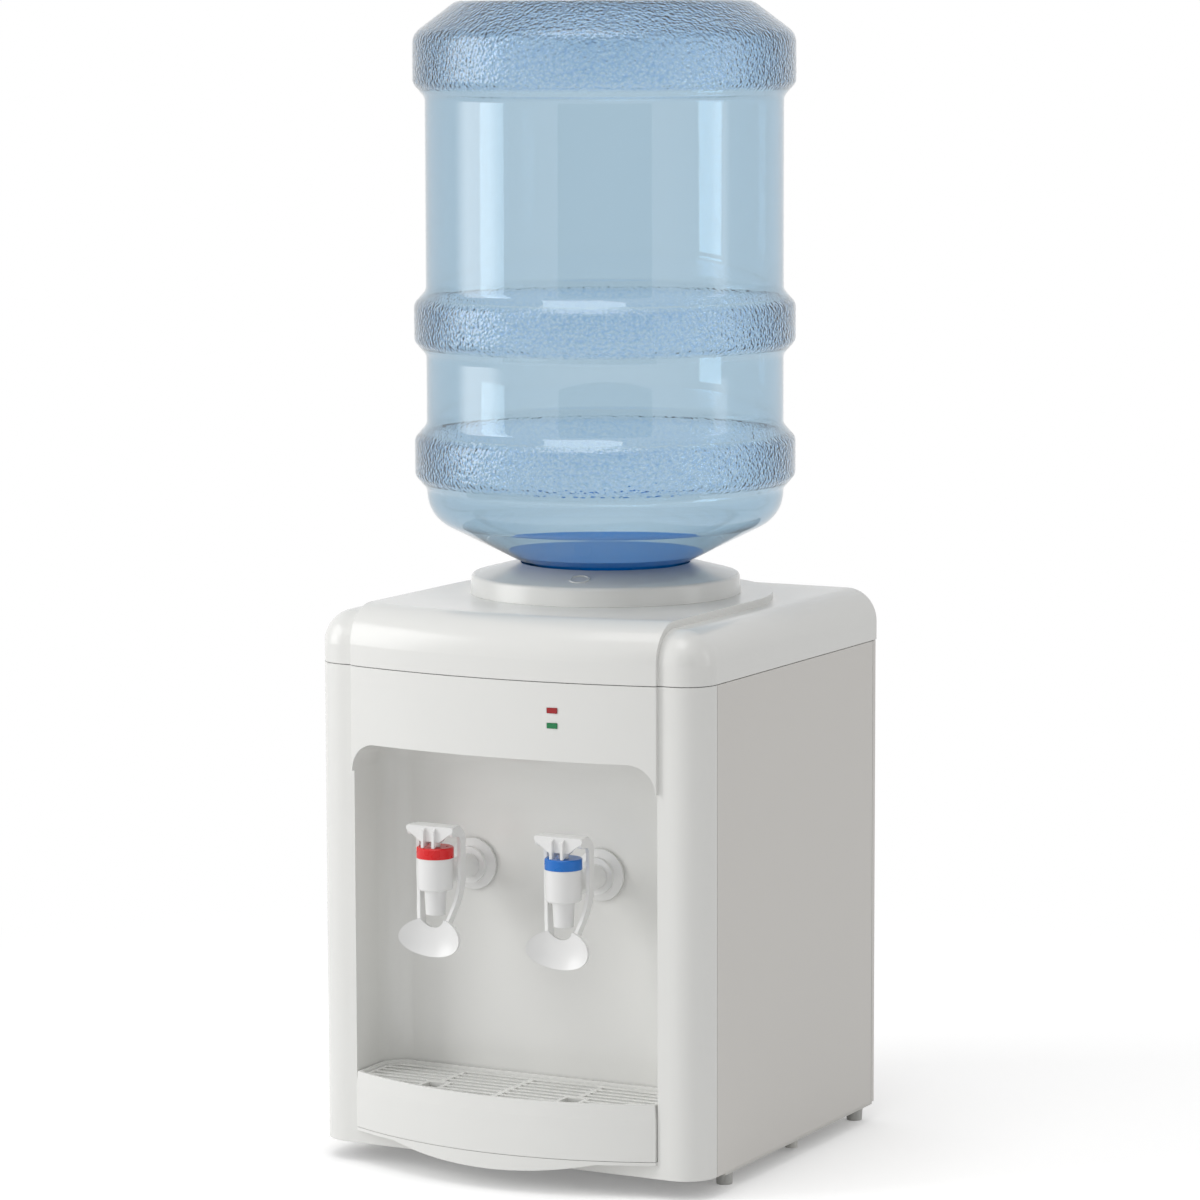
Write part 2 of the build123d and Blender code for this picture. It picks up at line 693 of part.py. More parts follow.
# Rear panel: shallow pan with louvres and openings for the rear fittings
with BuildPart() as rear_panel:
    with BuildSketch(facing(REAR_Y)):
        with Locations((0, PANEL_BOTTOM)):
            Rectangle(BODY_WIDTH, PANEL_HEIGHT, align=(Align.CENTER, Align.MIN))
    extrude(amount=REAR_RIM)
    fillet(rear_panel.edges().filter_by(Axis.Z).group_by(Axis.Y)[-1], REAR_EDGE_R)
    with BuildSketch(facing(REAR_INNER_Y)):
        with Locations((0, PANEL_BOTTOM)):
            Rectangle(2 * INNER_HALF, PANEL_HEIGHT, align=(Align.CENTER, Align.MIN))
    extrude(amount=REAR_RIM, mode=Mode.SUBTRACT)
    with BuildSketch(facing(REAR_Y)):
        with Locations((0, LOUVRE_Z)):
            with GridLocations(2 * LOUVRE_X, LOUVRE_PITCH, 2, LOUVRE_ROWS):
                SlotOverall(LOUVRE_LENGTH, LOUVRE_WIDTH)
        with Locations((DRAIN_X, DRAIN_Z)):
            Circle(DRAIN_R + DRAIN_CAP_CLEAR)
        with Locations((GLAND_X, GLAND_Z)):
            Circle(GLAND_R + GLAND_CLEAR)
        with Locations((SWITCH_X, SWITCH_Z)):
            Rectangle(SWITCH_WIDTH + 2 * SWITCH_CLEAR, SWITCH_HEIGHT + 2 * SWITCH_CLEAR)
        for height in BOSS_HEIGHTS:
            with Locations((-BOSS_X, height), (BOSS_X, height)):
                Circle(SCREW_R + SCREW_FIT)
    extrude(amount=WALL, mode=Mode.SUBTRACT)
save(rear_panel, "rear_panel")

with BuildPart() as rear_screws:
    for height in BOSS_HEIGHTS:
        with BuildSketch(facing(REAR_Y)):
            with Locations((-BOSS_X, height), (BOSS_X, height)):
                Circle(SCREW_HEAD_R)
        extrude(amount=-SCREW_HEAD_H)
        with BuildSketch(facing(REAR_Y)):
            with Locations((-BOSS_X, height), (BOSS_X, height)):
                Circle(SCREW_R)
        extrude(amount=SCREW_LENGTH)
save(rear_screws, "rear_screws")

# Base plate with air slots and two short side studs
BASE_FRONT = FRONT_Y + BASE_FRONT_SETBACK
BASE_BACK = REAR_Y - BASE_INSET
FOOT_X = HALF_WIDTH - FOOT_INSET_X
FRONT_FOOT_Y = FRONT_Y + FRONT_FOOT_SETBACK
REAR_FOOT_Y = REAR_Y - REAR_FOOT_SETBACK
FOOT_PLACES = [(x, y) for x in (-FOOT_X, FOOT_X) for y in (FRONT_FOOT_Y, REAR_FOOT_Y)]
with BuildPart() as base_plate:
    with BuildSketch(Plane.XY.offset(FOOT_HEIGHT)):
        with Locations((0, (BASE_FRONT + BASE_BACK) / 2)):
            Rectangle(BODY_WIDTH - 2 * BASE_INSET, BASE_BACK - BASE_FRONT)
        with Locations(*FOOT_PLACES):
            Circle(FOOT_PEG_R + PLUNGER_FIT, mode=Mode.SUBTRACT)
        with Locations((0, TANK_Y)):
            with GridLocations(VENT_LENGTH, VENT_PITCH, 1, VENT_ROWS):
                SlotOverall(VENT_LENGTH, VENT_WIDTH, mode=Mode.SUBTRACT)
    extrude(amount=BASE_THICK)
    with BuildSketch(Plane.XY.offset(FOOT_HEIGHT)):
        stud_y = (FRONT_FOOT_Y + REAR_FOOT_Y) / 2
        with Locations((-FOOT_X, stud_y), (FOOT_X, stud_y)):
            Circle(STUD_R)
    extrude(amount=STUD_SHORT - FOOT_HEIGHT)
save(base_plate, "base_plate")

# Push-in feet: a tapered pad, a peg through the plate and a retaining head
with BuildPart() as feet:
    for foot_x, foot_y in FOOT_PLACES:
        with BuildSketch(upright(foot_x, foot_y)):
            with BuildLine():
                Polyline(
                    (0, 0),
                    (FOOT_TIP_R, 0),
                    (FOOT_R, FOOT_HEIGHT),
                    (FOOT_PEG_R, FOOT_HEIGHT),
                    (FOOT_PEG_R, PANEL_BOTTOM),
                    (FOOT_HEAD_R, PANEL_BOTTOM),
                    (FOOT_PEG_R, PANEL_BOTTOM + FOOT_HEAD_H),
                    (0, PANEL_BOTTOM + FOOT_HEAD_H),
                    close=True,
                )
            make_face()
        revolve(axis=vertical(foot_x, foot_y))
save(feet, "feet")

# Bottle collar: outer wall, sloping top and an inner skirt that drops through the lid
SKIRT_R = BOTTLE_SEAT_R + COLLAR_WALL
SKIRT_BOTTOM = STRIP_TOP - COLLAR_SKIRT_DROP
SHOULDER_Z = STRIP_TOP + COLLAR_WALL_H
SHOULDER_R = COLLAR_R - COLLAR_DRAFT
with BuildPart() as bottle_collar:
    with BuildSketch(upright(0, AXIS_Y)) as collar_section:
        with BuildLine():
            Polyline(
                (BOTTLE_SEAT_R, SKIRT_BOTTOM),
                (BOTTLE_SEAT_R, COLLAR_TOP),
                (SHOULDER_R, SHOULDER_Z),
                (COLLAR_R, STRIP_TOP),
                (COLLAR_R - COLLAR_WALL, STRIP_TOP),
                (SHOULDER_R - COLLAR_WALL, SHOULDER_Z - COLLAR_WALL),
                (SKIRT_R, COLLAR_TOP - 1.2 * COLLAR_WALL),
                (SKIRT_R, SKIRT_BOTTOM),
                close=True,
            )
        make_face()
        fillet(collar_section.vertices().sort_by_distance((SHOULDER_R, SHOULDER_Z))[0], COLLAR_EDGE_R)
        fillet(collar_section.vertices().sort_by_distance((BOTTLE_SEAT_R, COLLAR_TOP))[0], 1.0)
    revolve(axis=vertical(0, AXIS_Y))
    # Small raised ring on the sloping top, a little right of the front
    turn = radians(COLLAR_RING_TURN)
    ring_r = (SHOULDER_R + BOTTLE_SEAT_R) / 2
    ring_z = (COLLAR_TOP + SHOULDER_Z) / 2
    fall = (COLLAR_TOP - SHOULDER_Z) / (SHOULDER_R - BOTTLE_SEAT_R)
    ring_plane = Plane(
        origin=(ring_r * sin(turn), AXIS_Y - ring_r * cos(turn), ring_z),
        z_dir=(fall * sin(turn), -fall * cos(turn), 1),
    )
    with BuildSketch(ring_plane):
        Circle(COLLAR_RING_R)
        Circle(COLLAR_RING_INNER_R, mode=Mode.SUBTRACT)
    extrude(amount=COLLAR_RING_RISE, both=True)
save(bottle_collar, "bottle_collar")


def bottle_outline():
    """Half outline of the bottle from the middle of its punt down to its open neck."""
    slope = tan(radians(BOTTLE_SLOPE))
    low = BOTTLE_WAIST_R
    band = BOTTLE_BAND_R
    slant = BOTTLE_BAND_SLANT
    soft = BOTTLE_BAND_ROUND
    corners = [
        ((0, BOTTLE_HEIGHT - PUNT_DEPTH), None),
        ((PUNT_FLOOR_R, BOTTLE_HEIGHT - PUNT_DEPTH), PUNT_ROUND),
        ((PUNT_R, BOTTLE_HEIGHT), PUNT_ROUND),
        ((TOP_FLAT_R, BOTTLE_HEIGHT), TOP_ROUND),
        ((band, TOP_BAND_Z + TOP_BAND_HEIGHT), TOP_ROUND),
        ((band, TOP_BAND_Z), soft),
        ((low, TOP_BAND_Z - slant), soft),
    ]
    for band_z in (MIDDLE_BAND_Z, LOWER_BAND_Z):
        corners += [
            ((low, band_z + BAND_HEIGHT + slant), soft),
            ((band, band_z + BAND_HEIGHT), soft),
            ((band, band_z), soft),
            ((low, band_z - slant), soft),
        ]
    corners += [
        ((low, (low - BOTTLE_SEAT_R) * slope), BOTTLE_SHOULDER_R),
        ((NECK_R, (NECK_R - BOTTLE_SEAT_R) * slope), NECK_ROUND),
        ((NECK_R, (NECK_R - BOTTLE_SEAT_R) * slope - NECK_LENGTH), None),
    ]
    points = [(r, z + BOTTLE_SEAT_Z) for (r, z), _ in corners]
    radii = [radius for _, radius in corners if radius is not None]
    return points, radii


# Bottle: one thin shell turned about the seat axis, neck down and open
BOTTLE_POINTS, BOTTLE_RADII = bottle_outline()
NECK_MOUTH_Z = BOTTLE_POINTS[-1][1]
with BuildPart() as bottle:
    with BuildSketch(upright(0, AXIS_Y)):
        with BuildLine() as outline:
            FilletPolyline(*BOTTLE_POINTS, radius=BOTTLE_RADII)
            mirror(about=Plane.YZ)
            Line((-NECK_R, NECK_MOUTH_Z), (NECK_R, NECK_MOUTH_Z))
        make_face()
        offset(amount=-BOTTLE_WALL, kind=Kind.INTERSECTION, mode=Mode.SUBTRACT)
        with Locations((0, NECK_MOUTH_Z)):
            Rectangle(2 * (NECK_R - BOTTLE_WALL), 4 * BOTTLE_WALL, mode=Mode.SUBTRACT)
        with Locations((BOTTLE_BAND_R, NECK_MOUTH_Z + BOTTLE_HEIGHT)):
            Rectangle(2 * BOTTLE_BAND_R, 2 * BOTTLE_HEIGHT, mode=Mode.INTERSECT)
        with Locations((NECK_R - BOTTLE_WALL, NECK_MOUTH_Z)):
            Rectangle(BOTTLE_WALL + NECK_LIP, NECK_LIP_H, align=(Align.MIN, Align.MIN))
    revolve(axis=vertical(0, AXIS_Y))
save(bottle, "bottle")

# Shelf across the cabinet that carries the reservoir
with BuildPart() as reservoir_shelf:
    shelf_front = RECESS_INNER + SHELF_CLEAR
    shelf_back = REAR_Y - REAR_RIM - SEAM_GAP
    pass_r = HOSE_R + HOSE_PASS_CLEAR
    with BuildSketch(Plane.XY.offset(SHELF_Z)):
        with Locations((0, (shelf_front + shelf_back) / 2)):
            Rectangle(2 * (INNER_HALF - SHELF_CLEAR), shelf_back - shelf_front)
        with Locations((TAP_X, COLD_FEED_Y), (FEED_X, TANK_Y), (0, VENT_RUN_Y)):
            Circle(pass_r, mode=Mode.SUBTRACT)
    extrude(amount=SHELF_THICK)
save(reservoir_shelf, "reservoir_shelf")

# Reservoir: open tub with a rim flange, two spigots under it and a vent spigot behind
with BuildPart() as reservoir:
    with BuildSketch(upright(0, AXIS_Y)):
        with BuildLine():
            FilletPolyline(
                (0, SHELF_TOP),
                (RESERVOIR_R, SHELF_TOP),
                (RESERVOIR_R, RESERVOIR_TOP),
                radius=RESERVOIR_ROUND,
            )
            Polyline(
                (RESERVOIR_R, RESERVOIR_TOP),
                (RESERVOIR_R - RESERVOIR_WALL, RESERVOIR_TOP),
            )
            FilletPolyline(
                (RESERVOIR_R - RESERVOIR_WALL, RESERVOIR_TOP),
                (RESERVOIR_R - RESERVOIR_WALL, SHELF_TOP + RESERVOIR_WALL),
                (0, SHELF_TOP + RESERVOIR_WALL),
                radius=RESERVOIR_ROUND - RESERVOIR_WALL,
            )
            Line((0, SHELF_TOP + RESERVOIR_WALL), (0, SHELF_TOP))
        make_face()
    revolve(axis=vertical(0, AXIS_Y))
    with BuildSketch(Plane.XY.offset(RESERVOIR_TOP)):
        with Locations((0, AXIS_Y)):
            Circle(RESERVOIR_R + RESERVOIR_FLANGE)
            Circle(RESERVOIR_R - RESERVOIR_WALL, mode=Mode.SUBTRACT)
    extrude(amount=-RESERVOIR_FLANGE_H)
    spigot_places = [(TAP_X, COLD_FEED_Y), (FEED_X, TANK_Y)]
    with BuildSketch(Plane.XY.offset(SHELF_TOP + RESERVOIR_WALL)):
        with Locations(*spigot_places):
            Circle(SPIGOT_R)
    extrude(amount=-RESERVOIR_WALL - SHELF_THICK - SPIGOT_LENGTH)
    with BuildSketch(facing(AXIS_Y + RESERVOIR_R + SPIGOT_LENGTH)):
        with Locations((0, VENT_Z)):
            Circle(SPIGOT_R)
    extrude(amount=SPIGOT_LENGTH + RESERVOIR_WALL / 2)
    with BuildSketch(Plane.XY.offset(SHELF_TOP + RESERVOIR_WALL)):
        with Locations(*spigot_places):
            Circle(SPIGOT_BORE_R)
    extrude(amount=-RESERVOIR_WALL - SHELF_THICK - SPIGOT_LENGTH, mode=Mode.SUBTRACT)
    with BuildSketch(facing(AXIS_Y + RESERVOIR_R + SPIGOT_LENGTH)):
        with Locations((0, VENT_Z)):
            Circle(SPIGOT_BORE_R)
    extrude(amount=SPIGOT_LENGTH + 2 * RESERVOIR_WALL, mode=Mode.SUBTRACT)
save(reservoir, "reservoir")

with BuildPart() as reservoir_seal:
    with BuildSketch(Plane.XY.offset(RESERVOIR_TOP)):
        with Locations((0, AXIS_Y)):
            Circle(RESERVOIR_R + RESERVOIR_FLANGE)
            Circle(RESERVOIR_R - RESERVOIR_WALL, mode=Mode.SUBTRACT)
    extrude(amount=SEAL_THICK)
save(reservoir_seal, "reservoir_seal")

# Baffle that keeps warmed water low: holed disc on three legs with a centre tube
with BuildPart() as baffle:
    legs_z = SHELF_TOP + RESERVOIR_WALL
    disc_z = legs_z + BAFFLE_LEG_H
    with BuildSketch(Plane.XY.offset(disc_z)):
        with Locations((0, AXIS_Y)):
            Circle(BAFFLE_R)
            with PolarLocations(BAFFLE_HOLE_PCD_R, BAFFLE_HOLES):
                Circle(BAFFLE_HOLE_R, mode=Mode.SUBTRACT)
    extrude(amount=BAFFLE_THICK)
    with BuildSketch(Plane.XY.offset(disc_z + BAFFLE_THICK)):
        with Locations((0, AXIS_Y)):
            Circle(BAFFLE_TUBE_R)
    extrude(amount=-BAFFLE_TUBE_H)
    with BuildSketch(Plane.XY.offset(disc_z + BAFFLE_THICK)):
        with Locations((0, AXIS_Y)):
            Circle(BAFFLE_TUBE_R - BAFFLE_THICK)
    extrude(amount=-BAFFLE_TUBE_H, mode=Mode.SUBTRACT)
    with BuildSketch(Plane.XY.offset(legs_z)):
        with Locations((0, AXIS_Y)):
            with PolarLocations(BAFFLE_R - 2 * BAFFLE_LEG_R, 3, start_angle=-90):
                Circle(BAFFLE_LEG_R)
    extrude(amount=BAFFLE_LEG_H)
save(baffle, "baffle")

# Hot tank: closed stainless drum with three spigots on top and a drain below
with BuildPart() as hot_tank:
    with BuildSketch(upright(0, TANK_Y)):
        with BuildLine():
            FilletPolyline(
                (0, TANK_Z), (TANK_R, TANK_Z), (TANK_R, TANK_TOP), (0, TANK_TOP), radius=TANK_ROUND
            )
            Line((0, TANK_TOP), (0, TANK_Z))
        make_face()
    revolve(axis=vertical(0, TANK_Y))
    top_spigots = [(FEED_X, TANK_Y), (OUTLET_X, OUTLET_Y), (0, VENT_Y)]
    with BuildSketch(Plane.XY.offset(TANK_TOP)):
        with Locations(*top_spigots):
            Circle(SPIGOT_R)
    extrude(amount=SPIGOT_LENGTH)
    with BuildSketch(Plane.XY.offset(TANK_Z)):
        with Locations((0, DRAIN_FEED_Y)):
            Circle(SPIGOT_R)
    extrude(amount=-SPIGOT_LENGTH)
    with BuildSketch(upright(0, TANK_Y)):
        inner_r = TANK_R - TANK_WALL
        with BuildLine():
            FilletPolyline(
                (0, TANK_Z + TANK_WALL),
                (inner_r, TANK_Z + TANK_WALL),
                (inner_r, TANK_TOP - TANK_WALL),
                (0, TANK_TOP - TANK_WALL),
                radius=TANK_ROUND - TANK_WALL,
            )
            Line((0, TANK_TOP - TANK_WALL), (0, TANK_Z + TANK_WALL))
        make_face()
    revolve(axis=vertical(0, TANK_Y), mode=Mode.SUBTRACT)
    with BuildSketch(Plane.XY.offset(TANK_TOP + SPIGOT_LENGTH)):
        with Locations(*top_spigots):
            Circle(SPIGOT_BORE_R)
    extrude(amount=-SPIGOT_LENGTH - 2 * TANK_WALL, mode=Mode.SUBTRACT)
    with BuildSketch(Plane.XY.offset(TANK_Z - SPIGOT_LENGTH)):
        with Locations((0, DRAIN_FEED_Y)):
            Circle(SPIGOT_BORE_R)
    extrude(amount=SPIGOT_LENGTH + 2 * TANK_WALL, mode=Mode.SUBTRACT)
save(hot_tank, "hot_tank")

# Band heater: split sheath round the tank with two clamp ears behind
with BuildPart() as heater_band:
    band_inner = TANK_R + SKIN_CLEAR
    with BuildSketch(Plane.XY.offset(TANK_Z + HEATER_RAISE)):
        with Locations((0, TANK_Y)):
            Circle(band_inner + HEATER_THICK)
            with Locations((0, band_inner)):
                Rectangle(
                    HEATER_SLIT + 2 * HEATER_THICK, HEATER_THICK + HEATER_EAR, align=(Align.CENTER, Align.MIN)
                )
            Circle(band_inner, mode=Mode.SUBTRACT)
            with Locations((0, TANK_R)):
                Rectangle(HEATER_SLIT, 2 * (HEATER_THICK + HEATER_EAR), mode=Mode.SUBTRACT)
    extrude(amount=HEATER_HEIGHT)
save(heater_band, "heater_band")

# Foam jacket in two halves, with a window for the thermostats and one for the heater clamp
for half_name, half_side in (("front", -1), ("back", 1)):
    with BuildPart() as jacket:
        with BuildSketch(Plane.XY.offset(TANK_Z + JACKET_INSET)):
            with Locations((0, TANK_Y)):
                Circle(JACKET_R)
                Circle(JACKET_INNER_R, mode=Mode.SUBTRACT)
                with Locations((0, half_side * JACKET_SPLIT / 2)):
                    Rectangle(
                        2 * JACKET_R,
                        JACKET_R,
                        align=(Align.CENTER, Align.MIN if half_side > 0 else Align.MAX),
                        mode=Mode.INTERSECT,
                    )
        extrude(amount=TANK_HEIGHT - 2 * JACKET_INSET)
        if half_side < 0:
            with BuildSketch(facing(TANK_Y - JACKET_SPLIT)):
                with Locations((0, TANK_Z + (CONTROL_RAISE + CUTOUT_RAISE) / 2)):
                    window_height = CUTOUT_RAISE - CONTROL_RAISE + THERMOSTAT_WINDOW - JACKET_INSET
                    Rectangle(THERMOSTAT_WINDOW, window_height)
            extrude(amount=JACKET_R, mode=Mode.SUBTRACT)
        else:
            with BuildSketch(facing(TANK_Y + JACKET_R)):
                with Locations((0, TANK_Z + HEATER_RAISE + HEATER_HEIGHT / 2)):
                    Rectangle(THERMOSTAT_WINDOW, HEATER_HEIGHT + 2 * HEATER_EAR)
            extrude(amount=JACKET_THICK + HEATER_EAR, mode=Mode.SUBTRACT)
    save(jacket, f"jacket_{half_name}")

# Two snap-disc thermostats against the front of the tank
for thermostat_name, raise_z in (("control_thermostat", CONTROL_RAISE), ("cutout_thermostat", CUTOUT_RAISE)):
    with BuildPart() as thermostat:
        face_y = TANK_Y - TANK_R - SKIN_CLEAR
        with BuildSketch(facing(face_y)):
            with Locations((0, TANK_Z + raise_z)):
                Circle(THERMOSTAT_R)
        extrude(amount=THERMOSTAT_LENGTH / 2)
        with BuildSketch(facing(face_y - THERMOSTAT_LENGTH / 2)):
            with Locations((0, TANK_Z + raise_z)):
                Circle(THERMOSTAT_NECK_R)
        extrude(amount=THERMOSTAT_LENGTH / 2)
        with BuildSketch(facing(face_y - THERMOSTAT_LENGTH)):
            with Locations((0, TANK_Z + raise_z)):
                with GridLocations(BLADE_GAP, 1, 2, 1):
                    Rectangle(BLADE_THICK, BLADE_WIDTH)
        extrude(amount=BLADE_LENGTH)
    save(thermostat, thermostat_name)

# Folded sheet stand that carries the tank on the base plate
with BuildPart() as tank_stand:
    with BuildSketch(facing(TANK_Y + STAND_DEPTH / 2)):
        with Locations((0, TANK_Z)):
            Rectangle(2 * STAND_HALF, STAND_THICK, align=(Align.CENTER, Align.MAX))
        for side in (-1, 1):
            inward = Align.MAX if side > 0 else Align.MIN
            outward = Align.MIN if side > 0 else Align.MAX
            with Locations((side * STAND_HALF, PANEL_BOTTOM)):
                Rectangle(STAND_THICK, TANK_Z - PANEL_BOTTOM, align=(inward, Align.MIN))
                Rectangle(STAND_FOOT, STAND_THICK, align=(outward, Align.MIN))
    extrude(amount=STAND_DEPTH)
    with BuildSketch(Plane.XY.offset(TANK_Z)):
        with Locations((0, DRAIN_FEED_Y)):
            Circle(HOSE_R + HOSE_PASS_CLEAR)
    extrude(amount=-STAND_THICK, mode=Mode.SUBTRACT)
save(tank_stand, "tank_stand")

# Hoses between the reservoir, the tank, the taps and the drain
UNDER_SHELF = SHELF_Z - HOSE_SHORT
TANK_HOSE_Z = TANK_TOP + HOSE_SHORT
TAP_HOSE_Y = THREAD_END + HOSE_SHORT
with BuildLine() as cold_route:
    FilletPolyline(
        (TAP_X, COLD_FEED_Y, UNDER_SHELF),
        (TAP_X, COLD_FEED_Y, STEM_Z),
        (TAP_X, TAP_HOSE_Y, STEM_Z),
        radius=HOSE_BEND,
    )
hose(cold_route.line, "cold_hose")

with BuildLine() as hot_route:
    FilletPolyline(
        (OUTLET_X, OUTLET_Y, TANK_HOSE_Z),
        (OUTLET_X, OUTLET_Y, STEM_Z),
        (-TAP_X, COLD_FEED_Y, STEM_Z),
        (-TAP_X, TAP_HOSE_Y, STEM_Z),
        radius=HOSE_BEND,
    )
hose(hot_route.line, "hot_hose")

with BuildLine() as feed_route:
    Line((FEED_X, TANK_Y, UNDER_SHELF), (FEED_X, TANK_Y, TANK_HOSE_Z))
hose(feed_route.line, "feed_hose")

with BuildLine() as vent_route:
    FilletPolyline(
        (0, VENT_Y, TANK_HOSE_Z),
        (0, VENT_Y, TANK_TOP + VENT_RISE),
        (0, VENT_RUN_Y, TANK_TOP + VENT_RISE),
        (0, VENT_RUN_Y, VENT_Z),
        (0, AXIS_Y + RESERVOIR_R + HOSE_SHORT, VENT_Z),
        radius=HOSE_BEND,
    )
hose(vent_route.line, "vent_hose")

DRAIN_SPIGOT_Y = REAR_INNER_Y - DRAIN_FLANGE_T
with BuildLine() as drain_route:
    FilletPolyline(
        (0, DRAIN_FEED_Y, TANK_Z - STAND_THICK - HOSE_SHORT),
        (0, DRAIN_FEED_Y, DRAIN_Z),
        (DRAIN_X, DRAIN_FEED_Y + HOSE_BEND, DRAIN_Z),
        (DRAIN_X, DRAIN_SPIGOT_Y - HOSE_SHORT, DRAIN_Z),
        radius=HOSE_BEND,
    )
hose(drain_route.line, "drain_hose")

# Drain outlet: flange inside, nose outside, spigot for the hose
with BuildPart() as drain_outlet:
    with BuildSketch(facing(REAR_INNER_Y)):
        with Locations((DRAIN_X, DRAIN_Z)):
            Circle(DRAIN_FLANGE_R)
    extrude(amount=DRAIN_FLANGE_T)
    with BuildSketch(facing(REAR_INNER_Y)):
        with Locations((DRAIN_X, DRAIN_Z)):
            Circle(DRAIN_R)
    extrude(amount=-WALL - DRAIN_NOSE)
    with BuildSketch(facing(DRAIN_SPIGOT_Y)):
        with Locations((DRAIN_X, DRAIN_Z)):
            Circle(SPIGOT_R)
    extrude(amount=SPIGOT_LENGTH)
    with BuildSketch(facing(REAR_Y + DRAIN_NOSE)):
        with Locations((DRAIN_X, DRAIN_Z)):
            Circle(SPIGOT_BORE_R)
    extrude(amount=DRAIN_NOSE + WALL + DRAIN_FLANGE_T + SPIGOT_LENGTH, mode=Mode.SUBTRACT)
save(drain_outlet, "drain_outlet")

# Drain cap: fluted cup over the nose
with BuildPart() as drain_cap:
    with BuildSketch(facing(REAR_Y + DRAIN_CAP_LENGTH)):
        with Locations((DRAIN_X, DRAIN_Z)):
            Circle(DRAIN_CAP_R)
            with PolarLocations(DRAIN_CAP_R, CAP_FLATS):
                Circle(CAP_FLAT_R, mode=Mode.SUBTRACT)
    extrude(amount=DRAIN_CAP_LENGTH - SEAM_GAP)
    with BuildSketch(facing(REAR_Y + DRAIN_CAP_LENGTH - DRAIN_CAP_END)):
        with Locations((DRAIN_X, DRAIN_Z)):
            Circle(DRAIN_R + DRAIN_CAP_CLEAR)
    extrude(amount=DRAIN_CAP_LENGTH, mode=Mode.SUBTRACT)
save(drain_cap, "drain_cap")

# Drip tray: bowed tub with a slightly drawn-in upper band and a step for the grille
with BuildPart() as drip_tray:
    with BuildSketch(Plane.XY.offset(TRAY_BOTTOM)):
        add(tray_plan(0))
    extrude(amount=TRAY_HEIGHT - TRAY_BAND)
    with BuildSketch(Plane.XY.offset(TRAY_TOP - TRAY_BAND)):
        add(tray_plan(0))
    extrude(amount=TRAY_BAND, taper=TRAY_BAND_TAPER)
    with BuildSketch(Plane.XY.offset(TRAY_BOTTOM + TRAY_WALL)):
        add(tray_plan(TRAY_WALL + TRAY_STEP))
    extrude(amount=TRAY_HEIGHT, mode=Mode.SUBTRACT)
    with BuildSketch(Plane.XY.offset(GRILLE_BOTTOM)):
        add(tray_plan(TRAY_WALL))
    extrude(amount=TRAY_HEIGHT, mode=Mode.SUBTRACT)
save(drip_tray, "drip_tray")

# Drip grille: slats across, ribs front to back and two finger holes under the taps
FINGER_Y = TRAY_BACK - FINGER_SETBACK
with BuildPart() as drip_grille:
    with BuildSketch(Plane.XY.offset(GRILLE_BOTTOM)):
        add(tray_plan(TRAY_WALL + GRILLE_CLEAR))
    extrude(amount=GRILLE_THICK)
    with BuildSketch(Plane.XY.offset(GRILLE_BOTTOM)):
        for row in range(SLOT_ROWS):
            slot_y = TRAY_BACK - TRAY_WALL - GRILLE_BORDER - SLOT_WIDTH / 2 - row * SLOT_PITCH
            with Locations((0, slot_y)):
                Rectangle(2 * TRAY_HALF, SLOT_WIDTH)
        for rib_x in (-RIB_X, 0, RIB_X):
            with Locations((rib_x, TRAY_BACK)):
                Rectangle(RIB_WIDTH, 2 * (RECESS_DEPTH + TRAY_PROUD), mode=Mode.SUBTRACT)
        with Locations((-RIB_X, FINGER_Y), (RIB_X, FINGER_Y)):
            Rectangle(FINGER_HOLE + 2 * FINGER_BORDER, FINGER_HOLE + 2 * FINGER_BORDER, mode=Mode.SUBTRACT)
        with Locations((-RIB_X, FINGER_Y), (RIB_X, FINGER_Y)):
            Rectangle(FINGER_HOLE, FINGER_HOLE)
        add(tray_plan(TRAY_WALL + GRILLE_CLEAR + GRILLE_BORDER / 2), mode=Mode.INTERSECT)
    extrude(amount=GRILLE_THICK, mode=Mode.SUBTRACT)
save(drip_grille, "drip_grille")

